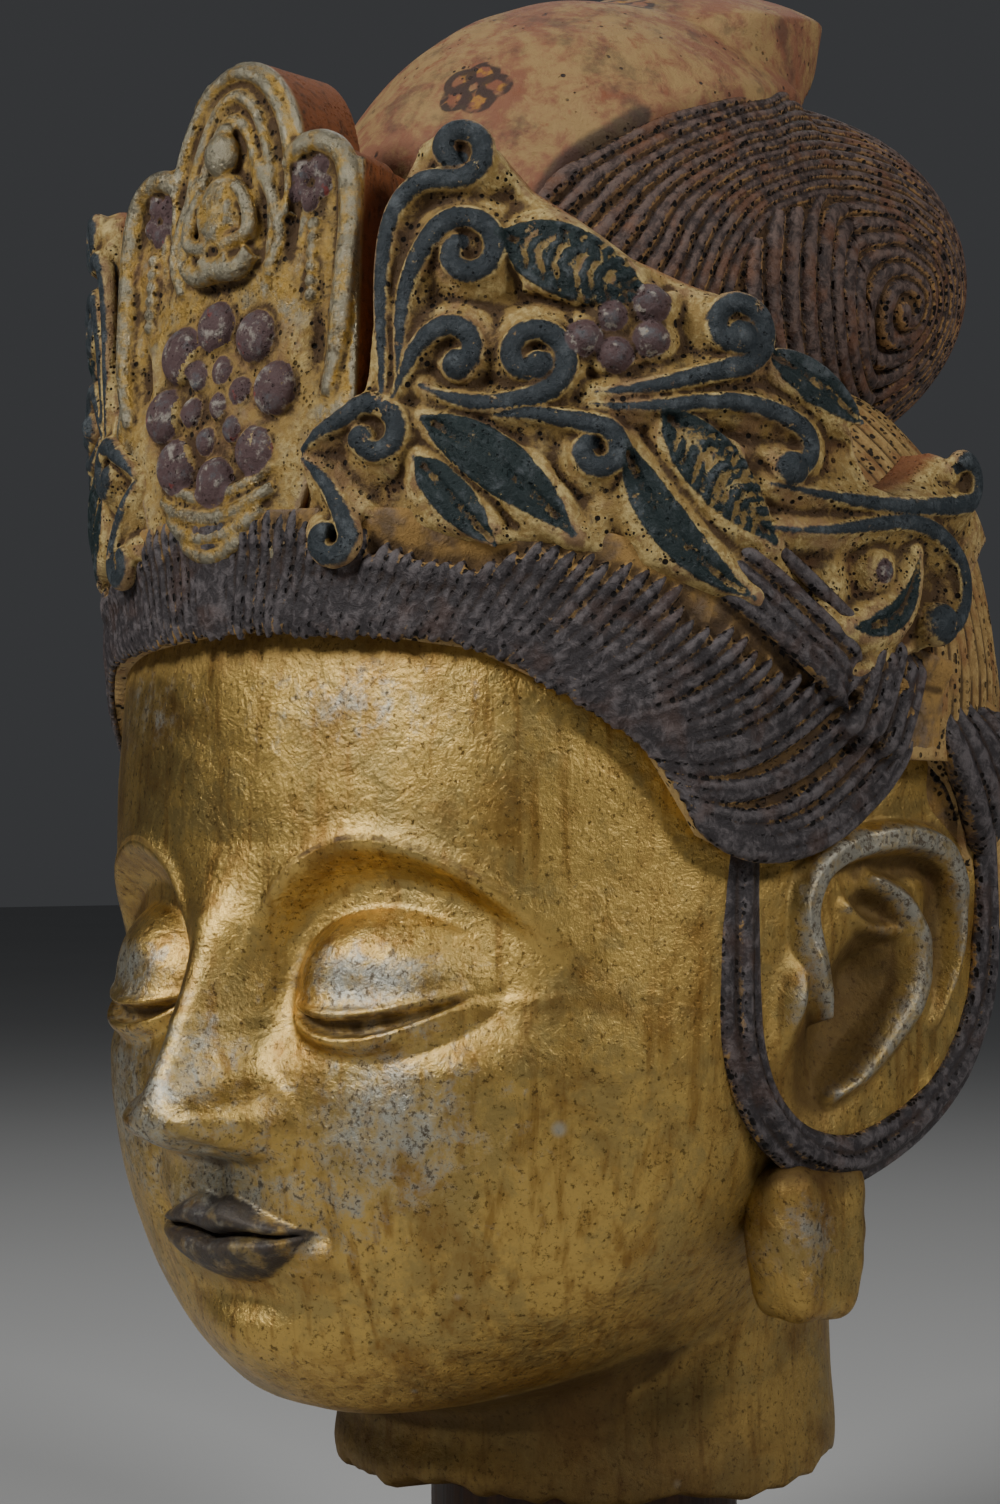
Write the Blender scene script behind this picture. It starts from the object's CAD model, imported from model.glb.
"""A bodhisattva's gilt and painted head with its crown and coiled topknot, dressed for a studio view.

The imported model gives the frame: the head's place on its stand and the box that it fills. Each part of the
head is modelled here again with its finer relief, as a carver would lay it out, and painted with layered
finishes: worn gilding on the face, matt paint on hair and crown, casting pits, and dirt in the hollows.
Head sizes are in metres above the neck's underside. Ornament is laid out flat, in millimetres: distance
round the crown's wall, height, and lift off the wall.
"""

import logging
import math
from contextlib import contextmanager
from dataclasses import dataclass, field
from enum import Enum
from typing import Callable, Iterator

import bmesh
import bpy
import numpy as np
from mathutils import Matrix, Vector, kdtree


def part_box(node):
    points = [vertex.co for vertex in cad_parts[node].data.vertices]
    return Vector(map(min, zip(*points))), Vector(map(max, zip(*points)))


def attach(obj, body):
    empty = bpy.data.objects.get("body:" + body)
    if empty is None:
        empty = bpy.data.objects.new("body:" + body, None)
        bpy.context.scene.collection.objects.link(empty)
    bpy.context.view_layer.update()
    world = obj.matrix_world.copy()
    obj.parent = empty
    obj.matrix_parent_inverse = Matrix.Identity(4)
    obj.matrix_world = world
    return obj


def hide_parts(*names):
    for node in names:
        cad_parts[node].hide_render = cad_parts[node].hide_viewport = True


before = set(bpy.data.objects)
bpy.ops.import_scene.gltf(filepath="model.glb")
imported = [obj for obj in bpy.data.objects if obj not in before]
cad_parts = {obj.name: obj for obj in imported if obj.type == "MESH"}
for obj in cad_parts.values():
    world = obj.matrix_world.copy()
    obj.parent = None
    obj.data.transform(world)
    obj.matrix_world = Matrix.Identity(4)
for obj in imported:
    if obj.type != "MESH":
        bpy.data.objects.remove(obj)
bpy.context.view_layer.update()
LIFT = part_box("head")[0].z

log = logging.getLogger("head")
MM = 0.001
Array = np.ndarray
Socket = bpy.types.NodeSocket
Piece = bpy.types.Object


class Side(Enum):
    """The figure's own sides, and the way that X points there."""

    LEFT = 1
    RIGHT = -1


# Lines, fields and shapes


def smooth_between(values: Array | list, samples: int) -> Array:
    """Reads a smooth curve through some values.

    Args:
        values: The values or points that the curve passes.
        samples: How many even samples to read.

    Returns:
        The samples, as an array.
    """
    values = np.asarray(values, float)
    padded = np.concatenate([values[:1], values, values[-1:]])
    position = np.linspace(0, len(values) - 1, samples)
    first = np.minimum(position.astype(int), len(values) - 2)
    t = (position - first)[(...,) + (None,) * (values.ndim - 1)]
    a, b, c, d = (padded[first + k] for k in range(4))
    return 0.5 * (2 * b + (c - a) * t + (2 * a - 5 * b + 4 * c - d) * t**2 + (3 * b - a - 3 * c + d) * t**3)


def smooth_read(at: Array, knots: tuple[tuple[float, float], ...]) -> Array:
    """Reads a smooth curve through knots, given as pairs, at some places."""
    curve = smooth_between(np.array(knots), 30 * len(knots))
    return np.interp(at, curve[:, 0], curve[:, 1])


def bezier(p0: Array, p1: Array, p2: Array, p3: Array, count: int) -> Array:
    """Points of a cubic curve between p0 and p3, with handles p1 and p2."""
    t = np.linspace(0, 1, count)[:, None]
    return (1 - t) ** 3 * p0 + 3 * (1 - t) ** 2 * t * p1 + 3 * (1 - t) * t**2 * p2 + t**3 * p3


def hill(*offsets: Array) -> Array:
    """A soft hill: 1 where all offsets are 0, falling off within about 1."""
    return np.exp(-sum(np.square(offset) for offset in offsets))


def step(value: Array) -> Array:
    """0 below -1, 1 above 1 and a smooth slope between."""
    t = np.clip((value + 1) / 2, 0, 1)
    return t * t * (3 - 2 * t)


def ripple(points: Array, wavelength: float, seed: int) -> Array:
    """An uneven, hand-made waviness between about -1 and 1.

    Args:
        points: The places to read it at.
        wavelength: The mean length of a wave, in metres.
        seed: Which waviness.

    Returns:
        One number for each point.
    """
    random = np.random.default_rng(seed)
    directions = random.normal(size=(9, points.shape[1]))
    directions /= np.linalg.norm(directions, axis=1)[:, None]
    lengths = wavelength * random.uniform(0.7, 1.6, 9)
    phases = random.uniform(0, 2 * math.pi, 9)
    return np.sin(points @ (directions / lengths[:, None]).T * 2 * math.pi + phases).sum(axis=1) / 4.5


def drift_of(points: Array) -> Array:
    """A slight hand-made wander of places, so that strands don't run too true."""
    return np.stack([ripple(points, 0.013, seed) for seed in (61, 62, 63)], axis=1) * 0.0003


@dataclass(frozen=True)
class Wall:
    """The upright round wall that crown and hair lie on."""

    radius: float = 0.0945
    centre_y: float = -0.01

    def wrap(self, flat: Array) -> Array:
        """Flat points (distance round, height, lift) put round the head."""
        flat = np.asarray(flat, float)
        angle = flat[:, 0] / self.radius
        out = self.radius + flat[:, 2]
        return np.stack([out * np.sin(angle), self.centre_y - out * np.cos(angle), flat[:, 1]], axis=1)

    def unwrap(self, points: Array) -> Array:
        """Points round the head laid out flat again."""
        x, y = points[:, 0], points[:, 1] - self.centre_y
        return np.stack([np.arctan2(x, -y) * self.radius, points[:, 2], np.hypot(x, y) - self.radius], axis=1)

    def mirrored(self, side: Side) -> Callable[[Array], Array]:
        """The wrapping for one side of the head, from a layout drawn for the left side."""
        return lambda flat: self.wrap(flat * (side.value, 1, 1))


WALL = Wall()


@dataclass
class Line:
    """A line of the ornament: its points and its radius or half width at each."""

    points: Array
    radius: Array | float

    def radii(self) -> Array:
        """The radius at each point."""
        return np.broadcast_to(self.radius, len(self.points)).astype(float)


class Field:
    """Measures how far places are from a set of lines, in the flat layout or in space."""

    def __init__(self, lines: list[Line], pitch: float = 0.0004) -> None:
        """Samples the lines.

        Args:
            lines: The lines, with points of two or three numbers.
            pitch: The distance between samples.
        """
        points, radii = [], []
        for line in lines:
            lengths = np.linalg.norm(np.diff(line.points, axis=0), axis=1)
            along = np.concatenate([[0], np.cumsum(lengths)])
            at = np.arange(0, along[-1] + pitch, pitch)
            points.append(np.stack([np.interp(at, along, axis) for axis in line.points.T], axis=1))
            radii.append(np.interp(at, along, line.radii()))
        self.points, self.radii = np.concatenate(points), np.concatenate(radii)
        self.flat = self.points.shape[1] == 2
        self.tree = kdtree.KDTree(len(self.points))
        for index, point in enumerate(self.points):
            self.tree.insert((*point, 0.0) if self.flat else point, index)
        self.tree.balance()

    def read(self, places: Array) -> tuple[Array, Array]:
        """Finds the nearest line.

        Args:
            places: The places, with as many numbers each as the lines' points.

        Returns:
            The distance to the nearest line's middle, and that line's radius there.
        """
        if self.flat:
            places = np.c_[places[:, :2], np.zeros(len(places))]
        found = [self.tree.find(place) for place in places.tolist()]
        index = np.array([item[1] for item in found])
        return np.array([item[2] for item in found]), self.radii[index]

    def beyond(self, places: Array) -> Array:
        """How far places lie beyond the nearest line's edge, in millimetres, negative inside it."""
        distance, radius = self.read(places)
        return (distance - radius) / MM

    def share(self, places: Array) -> Array:
        """The distance from the nearest line's middle, as a share of its radius there."""
        distance, radius = self.read(places)
        return distance / radius


# The bench: short names for the operators that every piece uses


def deselect() -> None:
    """Nothing stays selected."""
    bpy.ops.object.select_all(action="DESELECT")


def choose(*pieces: Piece) -> None:
    """Selects these pieces alone, the first one active."""
    deselect()
    for piece in pieces:
        piece.select_set(True)
    bpy.context.view_layer.objects.active = pieces[0]


@contextmanager
def editing(piece: Piece) -> Iterator[None]:
    """Edit mode on one piece, with all of its mesh selected."""
    choose(piece)
    bpy.ops.object.mode_set(mode="EDIT")
    bpy.ops.mesh.select_all(action="SELECT")
    yield
    bpy.ops.object.mode_set(mode="OBJECT")


def modify(piece: Piece, kind: str, **settings: object) -> None:
    """Adds a modifier and applies it.

    Args:
        piece: The piece.
        kind: The modifier's type.
        **settings: Its settings.
    """
    choose(piece)
    bpy.ops.object.modifier_add(type=kind)
    modifier = piece.modifiers[-1]
    for name, value in settings.items():
        setattr(modifier, name, value)
    bpy.ops.object.modifier_apply(modifier=modifier.name)


def joined(name: str, pieces: list[Piece]) -> Piece:
    """Several pieces as one object of this name."""
    choose(*pieces)
    if len(pieces) > 1:
        bpy.ops.object.join()
    whole = bpy.context.view_layer.objects.active
    whole.name = whole.data.name = name
    return whole


def points_of(piece: Piece) -> Array:
    """The piece's points, one row each."""
    points = np.empty(len(piece.data.vertices) * 3, np.float32)
    piece.data.vertices.foreach_get("co", points)
    return points.reshape(-1, 3).astype(float)


def move_points(piece: Piece, points: Array) -> None:
    """Puts the piece's points at new places."""
    piece.data.vertices.foreach_set("co", points.astype(np.float32).ravel())
    piece.data.update()


def normals_of(piece: Piece) -> Array:
    """The outward direction at each of the piece's points."""
    normals = np.empty(len(piece.data.vertices) * 3, np.float32)
    piece.data.vertex_normals.foreach_get("vector", normals)
    return normals.reshape(-1, 3).astype(float)


def note(piece: Piece, **kept: Array) -> None:
    """Keeps named numbers for each point of the piece, for its finish to read."""
    for name, values in kept.items():
        layer = piece.data.attributes.get(name) or piece.data.attributes.new(name, "FLOAT", "POINT")
        layer.data.foreach_set("value", np.asarray(values, np.float32))


def hollowness(piece: Piece, rounds: int) -> Array:
    """How deep each point lies below its surroundings, in millimetres.

    Args:
        piece: The piece.
        rounds: How often its points are averaged with their neighbours, so how wide the surroundings are.

    Returns:
        One number for each point, negative on ridges.
    """
    points = points_of(piece)
    edges = np.empty(len(piece.data.edges) * 2, np.int32)
    piece.data.edges.foreach_get("vertices", edges)
    first, second = edges.reshape(-1, 2).T
    count = np.bincount(edges, minlength=len(points))[:, None]
    eased = points.copy()
    for _ in range(rounds):
        total = [
            np.bincount(first, eased[second, k], len(points))
            + np.bincount(second, eased[first, k], len(points))
            for k in range(3)
        ]
        eased = 0.5 * eased + 0.5 * np.stack(total, axis=1) / np.maximum(count, 1)
    return np.sum((eased - points) * normals_of(piece), axis=1) / MM


def stacked(name: str, rings: list[Array]) -> Piece:
    """A closed skin over rings of points.

    A cylinder primitive with one face loop for each pair of rings is reshaped ring by ring.

    Args:
        name: The piece's name.
        rings: Equal rings of points, from one end to the other.

    Returns:
        The piece, closed at both ends.
    """
    around, count = len(rings[0]), len(rings)
    deselect()
    bpy.ops.mesh.primitive_grid_add(x_subdivisions=around, y_subdivisions=count - 1, size=1)
    piece = bpy.context.active_object
    piece.name = piece.data.name = name
    closed = np.concatenate([np.concatenate([ring, ring[:1]]) for ring in rings])
    move_points(piece, closed)
    with editing(piece):
        bpy.ops.mesh.remove_doubles(threshold=1e-7)
        bpy.ops.mesh.select_all(action="DESELECT")
        bpy.ops.mesh.select_mode(type="EDGE")
        bpy.ops.mesh.select_non_manifold(extend=False, use_wire=False, use_multi_face=False,
                                         use_non_contiguous=False, use_verts=False)
        bpy.ops.mesh.edge_face_add()
        bpy.ops.mesh.poke()
        bpy.ops.mesh.select_all(action="SELECT")
        bpy.ops.mesh.normals_make_consistent(inside=False)
    return piece


def ropes(name: str, lines: list[Line], place: Callable[[Array], Array] | None = None, sides: int = 3) -> Piece:
    """Round ropes along lines, as one mesh piece.

    Args:
        name: The piece's name.
        lines: The ropes' middle lines, with points of three numbers.
        place: Puts the ropes' points where they belong, if the lines are a flat layout.
        sides: How finely the ropes are rounded.

    Returns:
        The piece.
    """
    deselect()
    bpy.ops.curve.primitive_nurbs_path_add()
    piece = bpy.context.active_object
    piece.name = name
    curve = piece.data
    curve.splines.clear()
    curve.bevel_depth, curve.bevel_resolution, curve.use_fill_caps = 1.0, sides, True
    for line in lines:
        spline = curve.splines.new("POLY")
        spline.points.add(len(line.points) - 1)
        spline.points.foreach_set("co", np.c_[line.points, np.ones(len(line.points))].ravel())
        spline.points.foreach_set("radius", line.radii())
    bpy.ops.object.convert(target="MESH")
    piece = bpy.context.active_object
    with editing(piece):
        bpy.ops.mesh.remove_doubles(threshold=1e-7)
        bpy.ops.mesh.normals_make_consistent(inside=False)
    if place:
        move_points(piece, place(points_of(piece)))
    return piece


@dataclass(frozen=True)
class Lump:
    """An egg-shaped lump: its centre, its reach along three axes and its turn about X in degrees."""

    centre: tuple[float, float, float]
    reach: tuple[float, float, float]
    turn: float = 0.0


def lumps(name: str, items: list[Lump], place: Callable[[Array], Array] | None = None,
          detail: int = 4) -> Piece:
    """Egg-shaped lumps as one mesh piece.

    Args:
        name: The piece's name.
        items: The lumps.
        place: Puts their points where they belong, if they are laid out flat.
        detail: How finely they are rounded.

    Returns:
        The piece.
    """
    pieces = []
    for item in items:
        deselect()
        bpy.ops.mesh.primitive_ico_sphere_add(subdivisions=detail, radius=1)
        piece = bpy.context.active_object
        turn = Matrix.Rotation(math.radians(item.turn), 4, "X")
        piece.data.transform(Matrix.Translation(item.centre) @ turn @ Matrix.Diagonal((*item.reach, 1)))
        pieces.append(piece)
    whole = joined(name, pieces)
    if place:
        move_points(whole, place(points_of(whole)))
    return whole


def keep_outer_skin(piece: Piece) -> None:
    """Deletes the small closed skins that a remesh leaves round sealed hollows."""
    shape = bmesh.new()
    shape.from_mesh(piece.data)
    unseen, skins = set(shape.verts), []
    while unseen:
        stack, skin = [unseen.pop()], []
        while stack:
            vertex = stack.pop()
            skin.append(vertex)
            for edge in vertex.link_edges:
                other = edge.other_vert(vertex)
                if other in unseen:
                    unseen.remove(other)
                    stack.append(other)
        skins.append(skin)
    skins.sort(key=len)
    for skin in skins[:-1]:
        bmesh.ops.delete(shape, geom=skin, context="VERTS")
    shape.to_mesh(piece.data)
    shape.free()


def fused(name: str, pieces: list[Piece], grain: float, softness: int = 2, kept: float = 1.0) -> Piece:
    """Overlapping forms run together into one skin, as one mould gives them.

    Args:
        name: The fused piece's name.
        pieces: The forms.
        grain: The size of the skin's cells, in metres.
        softness: How often the skin is eased.
        kept: The share of its faces that is kept, where it is flat enough to need fewer.

    Returns:
        The fused piece.
    """
    whole = joined(name, pieces)
    modify(whole, "REMESH", mode="VOXEL", voxel_size=grain)
    keep_outer_skin(whole)
    if softness:
        modify(whole, "SMOOTH", factor=0.5, iterations=softness)
    if kept < 1:
        modify(whole, "DECIMATE", ratio=kept)
    return whole


def finish_piece(piece: Piece, material: bpy.types.Material, stands_for: tuple[str, ...] = (),
                 lift: float | None = None) -> None:
    """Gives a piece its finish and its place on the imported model.

    Args:
        piece: The piece, in the head's own frame.
        material: Its finish.
        stands_for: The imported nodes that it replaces.
        lift: How far it is raised, if not as far as the head.
    """
    piece.data.transform(Matrix.Translation((0, 0, LIFT if lift is None else lift)))
    choose(piece)
    bpy.ops.object.shade_smooth()
    piece.data.materials.clear()
    piece.data.materials.append(material)
    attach(piece, "root")
    if stands_for:
        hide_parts(*stands_for)
    piece.data.calc_loop_triangles()
    log.info("%s: %d triangles", piece.name, len(piece.data.loop_triangles))


# Finishes

Colour = tuple[float, float, float]


@dataclass(frozen=True)
class Layer:
    """A number at each place of a finish. Sums with it add nodes."""

    canvas: "Canvas"
    socket: Socket

    def __add__(self, other: "Amount") -> "Layer":
        """Their sum."""
        return self.canvas.calc("ADD", self, other)

    def __sub__(self, other: "Amount") -> "Layer":
        """Their difference."""
        return self.canvas.calc("SUBTRACT", self, other)

    def __rsub__(self, other: float) -> "Layer":
        """A number less this one."""
        return self.canvas.calc("SUBTRACT", other, self)

    def __mul__(self, other: "Amount") -> "Layer":
        """Their product."""
        return self.canvas.calc("MULTIPLY", self, other)

    def ramp(self, low: float, high: float, out_low: float = 0.0, out_high: float = 1.0) -> "Layer":
        """A smooth step from out_low, where the number is low, to out_high, where it is high."""
        fed = dict(enumerate((self, low, high, out_low, out_high)))
        made = self.canvas.node("ShaderNodeMapRange", fed, interpolation_type="SMOOTHSTEP")
        return Layer(self.canvas, made.outputs[0])


Amount = Layer | Socket | float


class Canvas:
    """A finish in the making: one method for each kind of layer."""

    def __init__(self, name: str, gloss: float = 0.3) -> None:
        """Starts an empty finish of this name, with a gloss for its bare paint."""
        self.material = bpy.data.materials.new(name)
        self.material.use_nodes = True
        self.tree = self.material.node_tree
        self.shader = self.tree.nodes["Principled BSDF"]
        self.spot = self.node("ShaderNodeTexCoord").outputs["Object"]
        self.gloss = gloss

    def node(self, kind: str, fed: dict[str | int, object] | None = None, **settings: object) -> bpy.types.Node:
        """Adds a node.

        Args:
            kind: Its type.
            fed: What goes into its sockets, under their names or numbers.
            **settings: Its settings.

        Returns:
            The node.
        """
        made = self.tree.nodes.new(kind)
        for name, value in settings.items():
            setattr(made, name, value)
        for socket, value in (fed or {}).items():
            self.feed(made.inputs[socket], value)
        return made

    def feed(self, socket: Socket, value: Amount | Colour) -> None:
        """Puts a number, a colour or another node's output into a socket."""
        value = value.socket if isinstance(value, Layer) else value
        if isinstance(value, bpy.types.NodeSocket):
            self.tree.links.new(value, socket)
        elif isinstance(value, tuple):
            socket.default_value = (*value, 1.0) if len(socket.default_value) == 4 else value
        else:
            socket.default_value = value

    def noted(self, name: str) -> Layer:
        """The number kept under this name at each point."""
        return Layer(self, self.node("ShaderNodeAttribute", attribute_name=name).outputs["Fac"])

    def noise(self, size: float, detail: float = 4, rough: float = 0.55, twist: float = 0.0,
              stretch: Colour | None = None) -> Layer:
        """Cloudy variation.

        Args:
            size: The size of its patches, in metres.
            detail: How many finer layers it has.
            rough: How strong these are.
            twist: How far it is distorted.
            stretch: Scales its axes, for streaks.

        Returns:
            A number between 0 and 1.
        """
        spot = self.spot
        if stretch:
            spot = self.node("ShaderNodeMapping", {"Vector": spot, "Scale": stretch}).outputs["Vector"]
        fed = {"Vector": spot, "Scale": 1 / size, "Detail": detail, "Roughness": rough, "Distortion": twist}
        return Layer(self, self.node("ShaderNodeTexNoise", fed).outputs["Fac"])

    def pits(self, pitch: float, reach: float, share: float) -> Layer:
        """Small round holes.

        Args:
            pitch: Their mean distance, in metres.
            reach: Their radius as a share of the pitch.
            share: How many of the cells hold one.

        Returns:
            1 in a pit and 0 outside, with a soft rim.
        """
        cells = self.node("ShaderNodeTexVoronoi", {"Vector": self.spot, "Scale": 1 / pitch}).outputs
        chance = Layer(self, self.node("ShaderNodeSeparateColor", {0: cells["Color"]}).outputs[0])
        size = chance.ramp(1 - share, 1.0, reach * 0.35, reach)
        here = self.calc("GREATER_THAN", chance, 1 - share)
        return (size - cells["Distance"]).ramp(-0.04, 0.06) * here

    def calc(self, operation: str, first: Amount, second: Amount = 0.0) -> Layer:
        """A sum of two numbers."""
        return Layer(self, self.node("ShaderNodeMath", {0: first, 1: second}, operation=operation).outputs[0])

    def over(self, base: Socket | Colour, coat: Socket | Colour, amount: Amount) -> Socket:
        """The colour that shows where a coat covers a base by an amount from 0 to 1."""
        fed = {0: amount, 6: base, 7: coat}
        return self.node("ShaderNodeMix", fed, data_type="RGBA", clamp_factor=True).outputs[2]

    def either(self, base: Amount, other: Amount, amount: Amount) -> Layer:
        """A number that goes from base to other as the amount goes from 0 to 1."""
        fed = {0: amount, 2: base, 3: other}
        return Layer(self, self.node("ShaderNodeMix", fed, data_type="FLOAT", clamp_factor=True).outputs[0])

    def relief(self, height: Amount, depth: float, strength: float = 1.0,
               under: Socket | None = None) -> Socket:
        """Fine relief, as a shading normal.

        Args:
            height: The relief's height, between 0 and 1.
            depth: Its depth in metres.
            strength: How much of it shows.
            under: Coarser relief that it lies on.

        Returns:
            The normal.
        """
        fed = {"Height": height, "Distance": depth, "Strength": strength} | ({"Normal": under} if under else {})
        return self.node("ShaderNodeBump", fed).outputs["Normal"]

    def done(self, colour: Socket, roughness: Amount, metallic: Amount, normal: Socket) -> bpy.types.Material:
        """Joins the layers to the shader and gives the finish."""
        fed = {"Base Color": colour, "Roughness": roughness, "Metallic": metallic, "Normal": normal,
               "Specular IOR Level": self.gloss}
        for name, value in fed.items():
            self.feed(self.shader.inputs[name], value)
        return self.material


@dataclass(frozen=True)
class Gilding:
    """Gold paint worn to a silvery ground, with brown dirt in the hollows."""

    gold: Colour = (0.63, 0.415, 0.12)
    olive: Colour = (0.44, 0.31, 0.105)
    deep_gold: Colour = (0.25, 0.12, 0.028)
    silver: Colour = (0.42, 0.43, 0.38)
    dirt: Colour = (0.06, 0.03, 0.008)
    lip: Colour = (0.034, 0.027, 0.026)
    chalk: Colour = (0.5, 0.47, 0.38)

    def coat(self, canvas: Canvas, wear: Socket, dirt: Socket) -> tuple[Socket, Socket, Socket]:
        """Lays the gilding.

        Args:
            canvas: The finish in the making.
            wear: Where the gold is rubbed through to silver, around 0.5.
            dirt: Where dirt lies, from 0 to 1.

        Returns:
            The colour, the roughness and the metallic share.
        """
        clouds = canvas.noise(0.026, 6, 0.66, 0.7)
        mottle = canvas.noise(0.004, 6, 0.72, 0.4)
        fine = canvas.noise(0.0012, 5, 0.72)
        streaks = canvas.noise(0.003, 4, 0.6, 0.0, (1.0, 1.0, 0.09))
        blend = (clouds * 0.6 + mottle * 0.4)
        gold = canvas.over(self.olive, self.gold, blend.ramp(0.42, 0.54))
        gold = canvas.over(gold, self.deep_gold, canvas.noise(0.017, 6, 0.7, 0.5).ramp(0.46, 0.68, 0.0, 0.65))
        gold = canvas.over(gold, self.deep_gold, streaks.ramp(0.5, 0.7, 0.0, 0.6))
        patch = (mottle * 0.8 + clouds * 0.3)
        patch = (patch + wear + fine * 0.25)
        patch = patch.ramp(0.8, 1.08)
        colour = canvas.over(gold, self.silver, patch * 0.88)
        specks = (fine + patch * 0.05).ramp(0.55, 0.66)
        colour = canvas.over(colour, self.dirt, specks * 0.75)
        cracks = canvas.calc("ABSOLUTE", canvas.noise(0.011, 5, 0.6, 0.4) - 0.5)
        cracks = (cracks.ramp(0.006, 0.0) * mottle.ramp(0.46, 0.54))
        colour = canvas.over(colour, self.dirt, cracks * 0.6)
        grime = (dirt + mottle * 0.7).ramp(0.44, 1.35)
        colour = canvas.over(colour, self.dirt, grime * 0.85)
        rough = canvas.either(0.25, 0.36, patch)
        rough = canvas.either(rough, 0.58, grime)
        rough = (rough + fine * 0.16)
        metal = canvas.either(0.93, 0.85, patch)
        metal = canvas.either(metal, 0.35, grime)
        return colour, rough, metal

    def surface(self, canvas: Canvas) -> Socket:
        """Brush marks, grain and small dents as a shading normal."""
        marks = canvas.relief(canvas.noise(0.0036, 4, 0.6, 0.3, (1.0, 1.0, 0.3)), 0.0003, 0.35)
        grain = canvas.relief(canvas.noise(0.001, 5, 0.72), 0.00025, 0.8, marks)
        return canvas.relief(canvas.noise(0.006, 5, 0.62, 0.5), 0.0008, 0.6, grain)

    def face(self) -> bpy.types.Material:
        """The finish of face and neck, with dark lips and lines."""
        canvas = Canvas("worn_gilding_face")
        hollow = canvas.noted("hollow").ramp(0.08, 1.3)
        wear = (canvas.noted("rubbed") * 0.36)
        dirt = (hollow + canvas.noted("shade"))
        colour, rough, metal = self.coat(canvas, wear, dirt)
        chips = canvas.pits(0.016, 0.1, 0.3)
        colour = canvas.over(colour, self.chalk, chips * 0.8)
        ragged = ((canvas.noise(0.0022, 4) - 0.5) * 0.9)
        lips = (canvas.noted("lips") + ragged).ramp(-0.35, 0.3)
        worn = canvas.noise(0.0045, 4, 0.6).ramp(0.42, 0.66, 1.0, 0.45)
        lips = (lips * worn)
        lines = (canvas.noted("lines") + ragged * 0.5).ramp(-0.2, 0.25)
        lines = (lines * canvas.noise(0.004, 3).ramp(0.35, 0.62, 1.0, 0.25))
        colour = canvas.over(colour, self.lip, lips * 0.93)
        colour = canvas.over(colour, self.dirt, lines * 0.85)
        painted = canvas.calc("MAXIMUM", lips, lines)
        return canvas.done(colour, canvas.either(rough, 0.46, painted), canvas.either(metal, 0.15, painted),
                           self.surface(canvas))

    def ear(self) -> bpy.types.Material:
        """The finish of ears and lobes, browner than the face, with rubbed rims."""
        canvas = Canvas("worn_gilding_ear")
        wear = (canvas.noted("raised") * 0.34)
        dirt = (canvas.noted("hollow").ramp(-0.05, 1.0) + 0.4)
        colour, rough, metal = self.coat(canvas, wear, dirt)
        return canvas.done(colour, rough, metal, self.surface(canvas))


@dataclass(frozen=True)
class HairPaint:
    """Dark matt paint on ridges of hair, with a warmer colour left in the grooves and rows of pits."""

    name: str
    ridge: Colour = (0.034, 0.028, 0.029)
    ridge_worn: Colour = (0.115, 0.098, 0.098)
    groove: Colour = (0.34, 0.2, 0.062)
    rust: Colour = (0.135, 0.058, 0.028)
    deep: Colour = (0.03, 0.015, 0.007)
    pit: Colour = (0.006, 0.004, 0.003)
    groove_edge: float = 0.84
    bare: float = 0.35
    rusty: float = 0.22

    def material(self) -> bpy.types.Material:
        """Builds the finish."""
        canvas = Canvas(self.name)
        across = canvas.noted("across")
        hollow = canvas.noted("hollow")
        mottle = canvas.noise(0.0026, 5, 0.7, 0.5)
        patches = canvas.noise(0.01, 4, 0.6)
        fine = canvas.noise(0.001, 4, 0.68)
        worn = (mottle - hollow * 0.35)
        colour = canvas.over(self.ridge, self.ridge_worn, worn.ramp(0.46, 0.68))
        colour = canvas.over(colour, self.rust, patches.ramp(0.48, 0.66) * self.rusty)
        edge = (across + (mottle - 0.5) * 1.2)
        edge = (edge + (fine - 0.5) * 0.9)
        low = edge.ramp(self.groove_edge, self.groove_edge + 0.22)
        left = canvas.noise(0.007, 4, 0.6).ramp(0.38, 0.62, self.bare, 1.0)
        colour = canvas.over(colour, self.groove, low * left)
        deep = hollow.ramp(0.02, 0.22)
        colour = canvas.over(colour, self.deep, deep * 0.75)
        between = (across.ramp(0.52, 0.74) * across.ramp(1.5, 1.2))
        holes = (canvas.pits(0.0013, 0.52, 0.75) * between)
        holes = (holes * patches.ramp(0.36, 0.46))
        colour = canvas.over(colour, self.pit, holes)
        colour = canvas.over(colour, self.pit, fine.ramp(0.58, 0.72) * 0.55)
        rough = canvas.either(0.52, 0.8, canvas.calc("MAXIMUM", low, holes))
        normal = canvas.relief(fine, 0.00035, 1.0)
        normal = canvas.relief(mottle, 0.0008, 0.8, normal)
        normal = canvas.relief(1.0 - holes, 0.0007, 1.0, normal)
        return canvas.done(colour, rough, 0.0, normal)


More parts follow.
